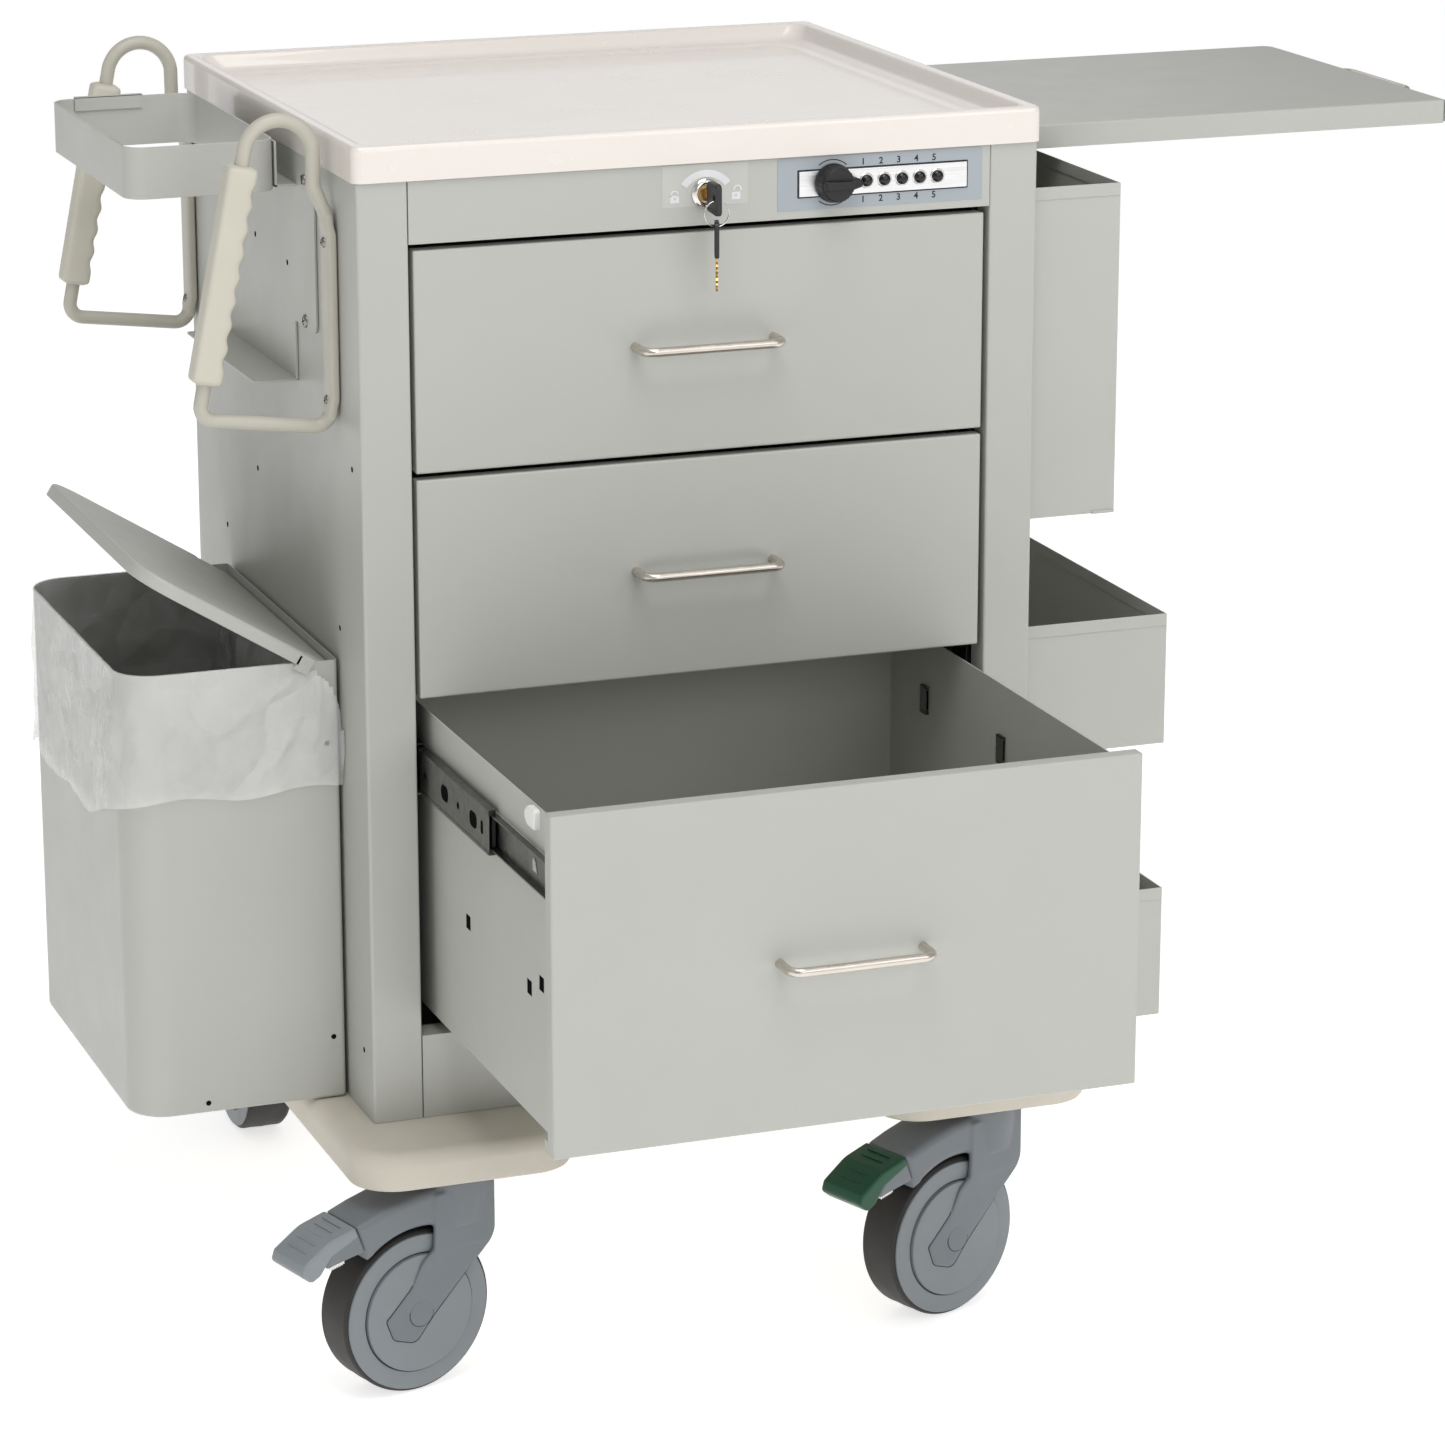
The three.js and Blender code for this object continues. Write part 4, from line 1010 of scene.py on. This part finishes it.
def make_liner():
    """A thin bag in the bin, folded over the rim, with pleats, creases and a bunched end by the cabinet."""
    outline = waste_outline(0, 14)
    dense = []
    for i, start in enumerate(outline):
        start, end = Vector(start), Vector(outline[(i + 1) % len(outline)])
        pieces = max(1, round((end - start).length / 3))
        dense += [start.lerp(end, k / pieces) for k in range(pieces)]
    count = len(dense)
    normals = []
    for i in range(count):
        way = (dense[(i + 3) % count] - dense[i - 3]).normalized()
        normals.append(Vector((way.y, -way.x)))
    high = WASTE["high"]
    floor = 7

    def crease(p, size, seed):
        return 1 - 2 * abs(noise.noise(Vector((p[0] / size, p[1] / size, p[2] / size + seed))))

    rows = []
    inner_heights = [floor + (high - 3 - floor) * (1 - (1 - k / 60) ** 1.3) for k in range(61)]
    for shrink in (0.1, 0.3, 0.5, 0.7, 0.86, 0.96):
        rows.append([(*(Vector((-99.5, 258.5)).lerp(p, shrink)), floor + 3 * (1 - shrink) ** 2)
                     for p in dense])
    for z in inner_heights:
        row = []
        for p, n in zip(dense, normals):
            depth = min(1, (high - z) / 60)
            fold = 2.4 + depth * (6 + 7 * crease((p.x, p.y, z * 0.5), 60, 3) + 2.5 * crease((p.x, p.y, z),
                                                                                            24, 9))
            tail_room = 3.6 + 0.5 * max(0, 366 - z, -42 - p.x)
            fold = min(max(2.2, fold), tail_room)
            row.append((p.x - n.x * fold, p.y - n.y * fold, z))
        rows.append(row)
    for out, z in ((-1.9, high + 0.2), (-1.2, high + 0.7), (-0.2, high + 0.95), (0.6, high + 0.6),
                   (0.95, high - 0.4)):
        rows.append([(p.x + n.x * out, p.y + n.y * out, z) for p, n in zip(dense, normals)])
    drops = 46
    for k in range(1, drops + 1):
        row = []
        for p, n in zip(dense, normals):
            hem = liner_hem(p.x, p.y)
            share = k / drops
            z = high - 0.4 - (high - hem) * share
            loose = min(1, max(0, (high - 14 - z) / 40))
            bunch = math.exp(-((p.x + 22) / 26) ** 2) if p.y < 100 else 0
            corner = math.exp(-((p.x + 190) / 30) ** 2 - ((p.y - 90) / 60) ** 2)
            lift = 1.0 + loose * (2.2 + 2.8 * crease((p.x, p.y, z * 0.5), 62,
                                                     1) + 0.9 * crease((p.x, p.y, z), 27, 5))
            swell = math.sin(math.pi * min(1, max(0, (high - 8 - z) / 104)))
            ray = math.atan2(high + 6 - z, -24 - p.x) * 7 + 2.4 * crease((p.x, p.y, z), 90, 7)
            near = math.exp(-((p.x + 30) / 62) ** 2) if p.y < 100 else 0
            lift += 10 * bunch * swell + near * swell * 5 * (1 - abs(math.sin(ray))) ** 2
            lift += loose * share * 3.5 * corner
            cabinet = p.x > -8 and p.y > WASTE["front"] + 6
            lift = min(max(0.75, lift), 2.2 if cabinet else 15)
            row.append((min(p.x + n.x * lift, -0.9), p.y + n.y * lift, z))
        rows.append(row)
    points = [tuple(p) for row in rows for p in row]
    faces = []
    for i in range(len(rows) - 1):
        for k in range(count):
            m = (k + 1) % count
            corners = [i * count + k, i * count + m, (i + 1) * count + m, (i + 1) * count + k]
            centre = [sum(points[c][axis] for c in corners) / 4 for axis in range(3)]
            if liner_cut(*centre):
                continue
            faces.append(corners)
    faces.append(list(range(count)))
    film = piece("liner_bag", (points, faces), film_material(), "cart", ["waste_liner"], sharp=180)


# ---- side bins ----
def make_side_bins():
    for name in ("upper", "middle", "lower"):
        node = f"side_bin_{name}"
        dress(node, PAINT, 0.4)
        low, high = span(node)
        for end, y in (("front", low.y), ("rear", high.y)):
            way = -1 if end == "front" else 1
            strip = sorted((y + way * 0.05, y + way * 0.75))
            hem = block(low.x + 1, high.x - 0.6, *strip, high.z - 11, high.z + 0.4, 0.3)
            piece(f"{node}_hem_{end}", hem, PAINT, "cart")
        hem = block(high.x - 1.9, high.x - 1.25, low.y + 3, high.y - 3, high.z - 11, high.z + 0.4, 0.3)
        piece(f"{node}_hem_side", hem, PAINT, "cart")
        if name == "upper":
            lip = block(high.x - 22, high.x - 0.5, low.y - 1.2, low.y + 0.2, low.z - 0.4, low.z + 2.4, 0.4)
            piece(f"{node}_lip", lip, PAINT, "cart")


# ---- locks ----
def key_bow(low, high, depth, centre_y, thick, hole_z, across=6.4):
    """A moulded key head with softened edges; the hole for the ring is cut into it afterwards."""
    outline = rounded([(centre_y - depth / 2, low, 4), (centre_y + depth / 2, low + 2, 4),
                       (centre_y + depth / 2, high, 4.5), (centre_y - depth / 2, high, 4.5)], 6)
    ring = [on("yz", inset(outline, side), x) for x,
            side in ((-thick / 2, 0.9), (-thick / 2 + 0.5, 0.2), (0, 0),
                                                              (thick / 2 - 0.5, 0.2), (thick / 2, 0.9))]
    return loft(ring)


def make_key_lock():
    low, high = span("keylock_barrel")
    x, z = (low.x + high.x) / 2, (low.z + high.z) / 2
    spot = at(x, -GAP, z, TO_FRONT)
    bezel = [(6.4, -24), (9.5, -24), (9.5, 0), (13.5, 0), (13.5, 0.8), (12.8, 2.2), (11, 3.2), (9.2, 3.7),
             (8.2, 3.4),
             (7.2, 2.6), (6.4, 2.2)]
    piece("lock_bezel", moved(lathe(bezel, 64, loop=True), spot), CHROME, "cart", ["keylock_barrel"],
          sharp=50)
    core = moved(lathe([(6, -27), (6, 2.2), (5.6, 2.6), (2.2, 2.6)], 48), spot)
    piece("lock_core", core, BRASS, "key")
    slot = block(x - 0.9, x + 0.9, -GAP - 2.75, -GAP - 2.3, z - 4.6, z + 4.6, 0.05)
    piece("lock_keyway", slot, SHADOW, "key")
    cam = block(x - 6, x + 6, 25.4, 28, z - 4, z + 24, 0.3)
    piece("lock_cam", cam, ZINC, "key")

    bow = moved(key_bow(z - 15.5, z + 12.5, 26, -21, 5, z), at(x, 0, 0))
    head = piece("key_head", bow, BLACK, "key", ["key"])
    hole = moved(lathe([(2.8, -9), (2.8, 9)], 24), at(x, -27, z, TO_RIGHT))
    punched(head, "ring_hole", hole)
    rib = [block(x - 2.9, x + 2.9, -31, -11.5, z + lift, z + lift + 1, 0.2) for lift in (-11.5, 9)]
    piece("key_head_ribs", join(*rib), BLACK, "key")
    blade = block(x - 1, x + 1, -10, 2, z - 4, z + 4, 0.3)
    piece("key_blade", blade, BRASS, "key")

    ring_low, ring_high = span("key_ring")
    ring_z, radius = (ring_low.z + ring_high.z) / 2, (ring_high.x - ring_low.x) / 2 - 0.8
    coils = []
    for k in range(121):
        a = 4 * math.pi * k / 120 + math.pi / 2
        shift = 0.55 * (k / 60 - 1)
        coils.append((x + radius * math.cos(a), -27 + shift, ring_z + radius * math.sin(a)))
    piece("split_ring", sweep(coils, circle(0.5, 10), (0, 1, 0)), CHROME, "key_bunch", ["key_ring"], sharp=60)

    top = ring_z - radius + 5
    hang = at(x, -27, 0, Matrix.Rotation(math.radians(-19), 4, "Z"))
    spare = moved(key_bow(top - 32, top, 20, 0, 4, top - 4), hang)
    head = piece("spare_key_head", spare, BLACK, "key_bunch")
    hole = moved(lathe([(3, -9), (3, 9)], 24), at(x, -27, top - 5, TO_RIGHT))
    punched(head, "spare_hole", hole)
    teeth = [(4, top - 32), (-4, top - 32)]
    for k in range(6):
        teeth += [(-4 + 0.2 * (k % 2), top - 35 - 4 * k), (-2.6 + 0.5 * (k % 3), top - 37 - 4 * k)]
    teeth += [(-2, top - 59), (0, top - 61), (4, top - 57)]
    piece("spare_key_blade", moved(prism("yz", teeth, -1, 1, 0.15), hang), BRASS, "key_bunch")


def label_band(name, inner, outer, start, end, x, z, y, material):
    """A flat printed arc around a lock."""
    ring = arc(x, z, outer, start, end, 40) + arc(x, z, inner, end, start, 40)
    piece(name, prism("xz", ring, y, y + 0.15, 0), material, "cart")


def padlock_icon(name, x, z, opened):
    """A plain padlock sign: a body with a keyhole and a shackle, lifted where it is open."""
    y = -0.55
    body = block(x - 4, x + 4, y, y + 0.2, z - 4, z + 2.6, 0, 0)
    lift = 1.6 if opened else 0
    shift = 1.4 if opened else 0
    hoop = arc(x + shift, z + 3.2 + lift, 3.2, 0, 180, 14)
    path = [(x + shift + 3.2, z + 2 + lift)] + hoop + [(x + shift - 3.2, z + (2 if not opened else 4))]
    shackle = sweep([(u, y + 0.1, v) for u, v in path],
                    [(-0.1, -0.65), (0.1, -0.65), (0.1, 0.65), (-0.1, 0.65)], (0, 1, 0))
    piece(name, join(body, shackle), DECAL, "cart")
    hole = prism("xz", circle_at(x, z - 0.4, 1.1, 16), y - 0.06, y, 0)
    piece(f"{name}_hole", hole, DECAL_FILM, "cart")


def circle_at(u, v, radius, sides):
    return [(u + a, v + b) for a, b in circle(radius, sides)]


def digit(name, text, x, z, y):
    """A printed digit from Blender's own font, as a mesh."""
    curve = bpy.data.curves.new(name, "FONT")
    curve.body = text
    curve.size = 8 * MM
    curve.offset = 0.16 * MM
    curve.align_x = "CENTER"
    curve.align_y = "CENTER"
    curve.extrude = 0.05 * MM
    made = linked(name, curve)
    bpy.context.view_layer.update()
    mesh = bpy.data.meshes.new_from_object(made)
    bpy.data.objects.remove(made)
    printed = linked(name, mesh)
    mesh.materials.append(PRINT)
    printed.matrix_world = Matrix.Translation(place((x, y, z))) @ TO_FRONT
    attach(printed, "cart")


def make_code_lock():
    low, high = span("code_lock_plate")
    z = (low.z + high.z) / 2
    knob_x = span("code_knob")[0].x + 17
    label = prism("xz", rect(377.5, 569, 788, 834, 1, 4), -0.38, -0.12, 0.05)
    piece("code_label", label, LABEL, "cart")
    dress("code_lock_plate", PLATE, 0.5)
    border = rect(low.x - 1.3, high.x + 1.3, low.z - 1.3, high.z + 1.3, 0.8, 3)
    frame_face = loft([on("xz", border, -0.6), on("xz", border, -0.36), on("xz", inset(border, 1.25), -0.36),
                       on("xz", inset(border, 1.25), -0.6)], loop=True)
    piece("code_border", frame_face, PRINT, "cart")
    for name, start, end in (("upper", 48, 128), ("lower", 232, 312)):
        label_band(f"code_arc_{name}", 19.4, 20.3, start, end, knob_x, z, -0.5, PRINT)

    near = -GAP - 1.8 - GAP
    spot = at(knob_x, near, z, TO_FRONT)
    dome = [(17, 0), (17, 3.5), (16.6, 4.6), (15.6, 12), (15.2, 13.6), (13.8, 14.8), (10, 15.2), (2, 15.3)]
    sides = 96
    rings = []
    for radius, height in dome:
        ring = []
        for k in range(sides):
            a = 2 * math.pi * k / sides
            flute = 0.45 * (0.5 + 0.5 * math.cos(a * 24)) if 4 < height < 14 else 0
            ring.append(((radius - flute) * math.cos(a), (radius - flute) * math.sin(a), height))
        rings.append(ring)
    piece("knob_dial", moved(loft(rings), spot), KNOB, "knob", ["code_knob"], sharp=30)
    nose = rounded([(-13, 7.5, 3), (8, 7.5, 6), (23.4, 3, 2.5), (23.4, -3, 2.5), (8, -7.5, 6),
                    (-13, -7.5, 3)][::-1], 6)
    pointer = prism("xy", nose, 0.4, 12, 1.4, 4)
    piece("knob_pointer", moved(pointer, spot), KNOB, "knob")
    grip = rounded([(-14.6, -5, 3), (14.6, -4, 2.5), (14.6, 4, 2.5), (-14.6, 5, 3)], 5)
    bar = loft([on("xy", inset(grip, side), height) for side,
                height in ((0, 9), (0.4, 17.5), (1, 19.3), (2, 20))])
    piece("knob_bar", moved(bar, spot), KNOB, "knob")

    for i in range(1, 6):
        low_b, high_b = span(f"code_button_{i}")
        x = (low_b.x + high_b.x) / 2
        reach = -low_b.y
        profile = [(5.2, -8), (5.2, reach - 3.4)]
        profile += [(5.2 * math.cos(a), reach - 3.4 + 3.4 * math.sin(a))
                    for a in (math.pi / 2 * k / 8 for k in range(1, 8))]
        dome = moved(lathe(profile, 40), at(x, 0, z, TO_FRONT))
        piece(f"button_dome_{i}", dome, BUTTON, f"button_{i}", [f"code_button_{i}"], sharp=60)
        collar = lathe([(5.35, 0), (6.6, 0), (6.6, 0.5), (6.2, 0.8), (5.35, 0.8)], 40, loop=True)
        piece(f"button_collar_{i}", moved(collar, at(x, -GAP - 1.8, z, TO_FRONT)), CHROME, "cart")
        for row, lift in (("upper", 16.2), ("lower", -16.6)):
            digit(f"digit_{row}_{i}", str(i), x - 2.5, z + lift, -0.42)


def make_key_decal():
    low, high = span("keylock_barrel")
    x, z = (low.x + high.x) / 2, (low.z + high.z) / 2
    film = prism("xz", rect(272, 350, 798, 834, 1, 3), -0.22, -0.05, 0)
    piece("key_decal", film, DECAL_FILM, "cart")
    label_band("key_arc", 22, 28.3, 38, 143, x, z - 8, -0.5, DECAL)
    padlock_icon("padlock_closed", x - 28.5, z - 3, False)
    padlock_icon("padlock_open", x + 27.5, z - 3, True)


# ---- casters, shaped with the swivel axis at the origin and the wheel trailing along +X ----
CASTERS = {"front_left": (58, -30, 195.5, "brake_pedal"), "front_right": (564, -30, 200.5, "tracking_pedal"),
           "rear_left": (58, 588, 90, None), "rear_right": (564, 588, 78, None)}
TRAIL, HUB_Z, TYRE = 48, -155, 75
LEG = rounded([(-29.5, -62), (-29.5, -98, 24), (-4, -122, 14), (36, -161, 8), (54, -182, 9), (77, -174, 8),
               (84, -155, 3), (58, -130, 20), (46, -107, 12), (34, -98, 4), (33, -62)], 6)


def fork_solid(with_pedal):
    """The fork moulding: swivel head, hood over the wheel and two legs."""
    head = lathe([(33, -80), (34.5, -66), (36, -52), (36, -40), (35.4, -38.6), (30, -38.6)], 56)
    under = arc(TRAIL, HUB_Z, 79.5, 139, 49 if with_pedal else 54, 18)
    if with_pedal:
        over = [(112, -60.5), (92, -54), (72, -49), (52, -45.6), (34, -44), (10, -42), (-12, -42),
                (-29.5, -46)]
        skirt = [(101.5, -92)]
    else:
        over = [(119, -77), (108, -62), (88, -53), (72, -49), (52, -45.6), (34, -44), (10, -42), (-12, -42),
                (-29.5, -46)]
        skirt = [(112, -93)]
    hood = prism("xz", under + skirt + over + [(-29.5, -94), (-22, -104)], -27.5, 27.5, 6, 4)
    cheek = rounded([(-29.5, -44, 3), (-29.5, -98, 12), (-14, -102, 4), (33, -98, 4), (33, -47, 3)], 5)
    cheeks = [prism("xz", cheek, low, high, 1.4, 2) for low, high in ((-30, -24.4), (24.4, 30))]
    legs = []
    for way in (-1, 1):
        points, faces = prism("xz", LEG, 24.4, 30, 1.0, 2)
        bent = []
        for x, y, z in points:
            drop = min(1, max(0, (-104 - z) / 46))
            bent.append((x, way * (y - (2.6 * drop if y > 27 else 0)), z))
        legs.append((bent, faces))
    axle = moved(lathe([(5, -27), (5, 27)], 32), at(TRAIL, 0, HUB_Z, TO_FRONT))
    return join(head, hood, *cheeks, *legs, axle)


def pedal_cap():
    """The foot plate: a cap over the top and tip of the arm, with a few grip ribs."""
    outline = rounded([(112.8, -60.2, 1.5), (140, -67.4, 30), (165.5, -83.6, 4), (168.5, -93, 4),
                       (158, -101.6, 5),
                       (149, -97, 4), (137, -82, 6), (109.6, -69.5, 1.5)], 6)
    skin = fused(prism("xz", outline, -26.6, 26.6, 2.6, 3), 0.9, 4)
    ribs = []
    for k in range(5):
        share = 0.16 + 0.17 * k
        x, z = 113 + 52 * share, -60.4 - 5 * share - 18.5 * share ** 2
        slope = math.atan2(-5 - 37 * share, 52)
        bar = block(-0.5, 0.5, -15 + 2 * (k % 2), 14, -0.8, 0.55, 0.3)
        ribs.append(moved(bar, at(x, 0, z, Matrix.Rotation(-slope, 4, "Y"))))
    return join(skin, *ribs)


def pedal_core():
    """The arm's gray end below the foot plate."""
    outline = rounded([(111, -64), (136.4, -77, 5), (147, -94, 3), (134, -90.4, 12), (103, -84.8, 1)], 5)
    return fused(prism("xz", outline, -26, 26, 2, 3), 0.9, 3)


def tyre_shape():
    half = 21.6
    profile = [(57, -half + 2.4), (70.8, -half + 0.4), (72.3, -half + 0.2)]
    profile += [(radius, height) for radius, height in arc(70.4, -half + 4.6, 4.4, -70, 0, 6)]
    profile += [(TYRE - 0.35, -9), (TYRE, 0), (TYRE - 0.35, 9)]
    profile += [(radius, height) for radius, height in arc(70.4, half - 4.6, 4.4, 0, 70, 6)]
    profile += [(72.3, half - 0.2), (70.8, half - 0.4), (57, half - 2.4)]
    return moved(lathe(profile, 128, loop=True), at(TRAIL, 0, HUB_Z, TO_FRONT))


def rim_shape():
    """The wheel's core: a web with a raised ring each side, and the deep groove that divides it from the disc."""
    half = [(6, 19.5), (11, 19.5), (13, 15), (50, 15), (54.6, 15.5), (55.1, 22.6), (55.6, 23.2), (66, 23.4),
            (71, 22.8),
            (71.7, 21.6)]
    profile = [(radius, -height) for radius, height in half] + half[::-1]
    return moved(lathe(profile, 128, loop=True), at(TRAIL, 0, HUB_Z, TO_FRONT))


def cover_shape():
    """The two still discs that fill the wheel's sides; the hub cap on the outside of each leg comes from
    cap_shape.
    """
    discs = []
    for turn in (TO_FRONT, TO_BACK):
        disc = [(6, 20.2), (53.6, 20.2), (54, 20.8), (54, 25), (53.5, 25.8), (52.6, 26.1), (30, 27),
                (6, 27.2)]
        discs.append(moved(lathe(disc, 112, loop=True), at(TRAIL, 0, HUB_Z, turn)))
    return join(*discs)


def cap_shape():
    caps = []
    for turn in (TO_FRONT, TO_BACK):
        cap = [(11.8, 27), (11.8, 27.9), (11.3, 28.2), (2, 28.3)]
        caps.append(moved(lathe(cap, 56), at(TRAIL, 0, HUB_Z, turn)))
    return join(*caps)


# A thin flat ring on each side of the wheel; drawn in the dark material it is a painted shade line in a seam or
# groove.
def seam_ring(radius, height, wide=0.35):
    ring = [(radius - wide, height), (radius + wide, height), (radius + wide, height + 0.12),
            (radius - wide, height + 0.12)]
    return join(*[moved(lathe(ring, 72, loop=True), at(TRAIL, 0, HUB_Z, turn))
                  for turn in (TO_FRONT, TO_BACK)])


def leg_seam():
    """The fine dark line of painted shade where the end of each leg meets the disc."""
    outer, inner = inset(LEG, -0.45), inset(LEG, 0.3)
    low_outer = [p for p in outer if p[1] < -118]
    low_inner = [p for p in inner if p[1] < -118]
    lines = []
    for way in (-1, 1):
        ring = low_outer + low_inner[::-1]
        lines.append(loft([on("xz", ring, way * 26.6), on("xz", ring, way * 27.35)]))
    return join(*lines)


def make_casters():
    forks = {pedal: fused(fork_solid(pedal), 1.25, 5) for pedal in (True, False)}
    cap, core = pedal_cap(), pedal_core()
    for name, (x, y, yaw, pedal) in CASTERS.items():
        spot = Matrix.Translation(place((x, y, 0))) @ Matrix.Rotation(math.radians(yaw), 4, "Z")
        body, wheel = f"caster_{name}", f"wheel_{name}"
        piece(f"fork_{name}", forks[bool(pedal)], NYLON, body, [f"caster_fork_{name}"], sharp=70, matrix=spot)
        piece(f"cover_{name}", cover_shape(), NYLON_DISC, body, matrix=spot)
        piece(f"hub_cap_{name}", cap_shape(), NYLON, body, matrix=spot)
        # Painted shade: dark rings where the hub cap meets the disc, along the ends of the legs and in the rim's
        # groove.
        piece(f"hub_seam_{name}", seam_ring(12.2, 27.5), DARK, body, matrix=spot)
        piece(f"leg_seam_{name}", leg_seam(), DARK, body, matrix=spot)
        piece(f"rim_groove_{name}", seam_ring(54.6, 21.2, 1.4), DARK, wheel, matrix=spot)
        disc = lathe([(31, -38.1), (33.5, -37.6), (33.5, -35.4), (32.6, -34.6), (6, -34.6)], 64)
        piece(f"swivel_cap_{name}", disc, NYLON_DISC, body, matrix=spot)
        # Painted shade: a dark ring in the gap between the swivel head and its cap.
        neck = lathe([(30, -39.4), (30, -37.2)], 48)
        piece(f"swivel_gap_{name}", neck, DARK, body, matrix=spot)
        piece(f"tyre_{name}", tyre_shape(), RUBBER, wheel, [f"caster_wheel_{name}"], matrix=spot)
        piece(f"rim_{name}", rim_shape(), NYLON_DISC, wheel, matrix=spot)
        if pedal:
            finish = PEDAL_GRAY if name == "front_left" else PEDAL_GREEN
            piece(f"pedal_{name}", cap, finish, pedal, [pedal], sharp=60, matrix=spot)
            piece(f"pedal_arm_{name}", core, NYLON, pedal, sharp=60, matrix=spot)
            teeth = [(119.5, -86), (134.5, -88), (134.5, -97)]
            for k in range(6):
                teeth += [(132.9 - 2.2 * k, -98.4 + 0.5 * k), (131.8 - 2.2 * k, -96.8 + 0.5 * k)]
            teeth.append((119.5, -95))
            piece(f"pedal_teeth_{name}", prism("xz", teeth, -4, 17, 0.2), CLIP_WHITE, pedal, matrix=spot)


make_stage()
make_lights()
make_camera()
make_cabinet()
make_screw_holes()
make_tray()
make_bumper()
make_drawers()
make_drawer_fittings()
make_slide_details()
make_shelf()
make_handles()
make_bracket()
make_waste_bin()
make_lid()
make_liner()
make_side_bins()
make_key_lock()
make_key_decal()
make_code_lock()
make_casters()
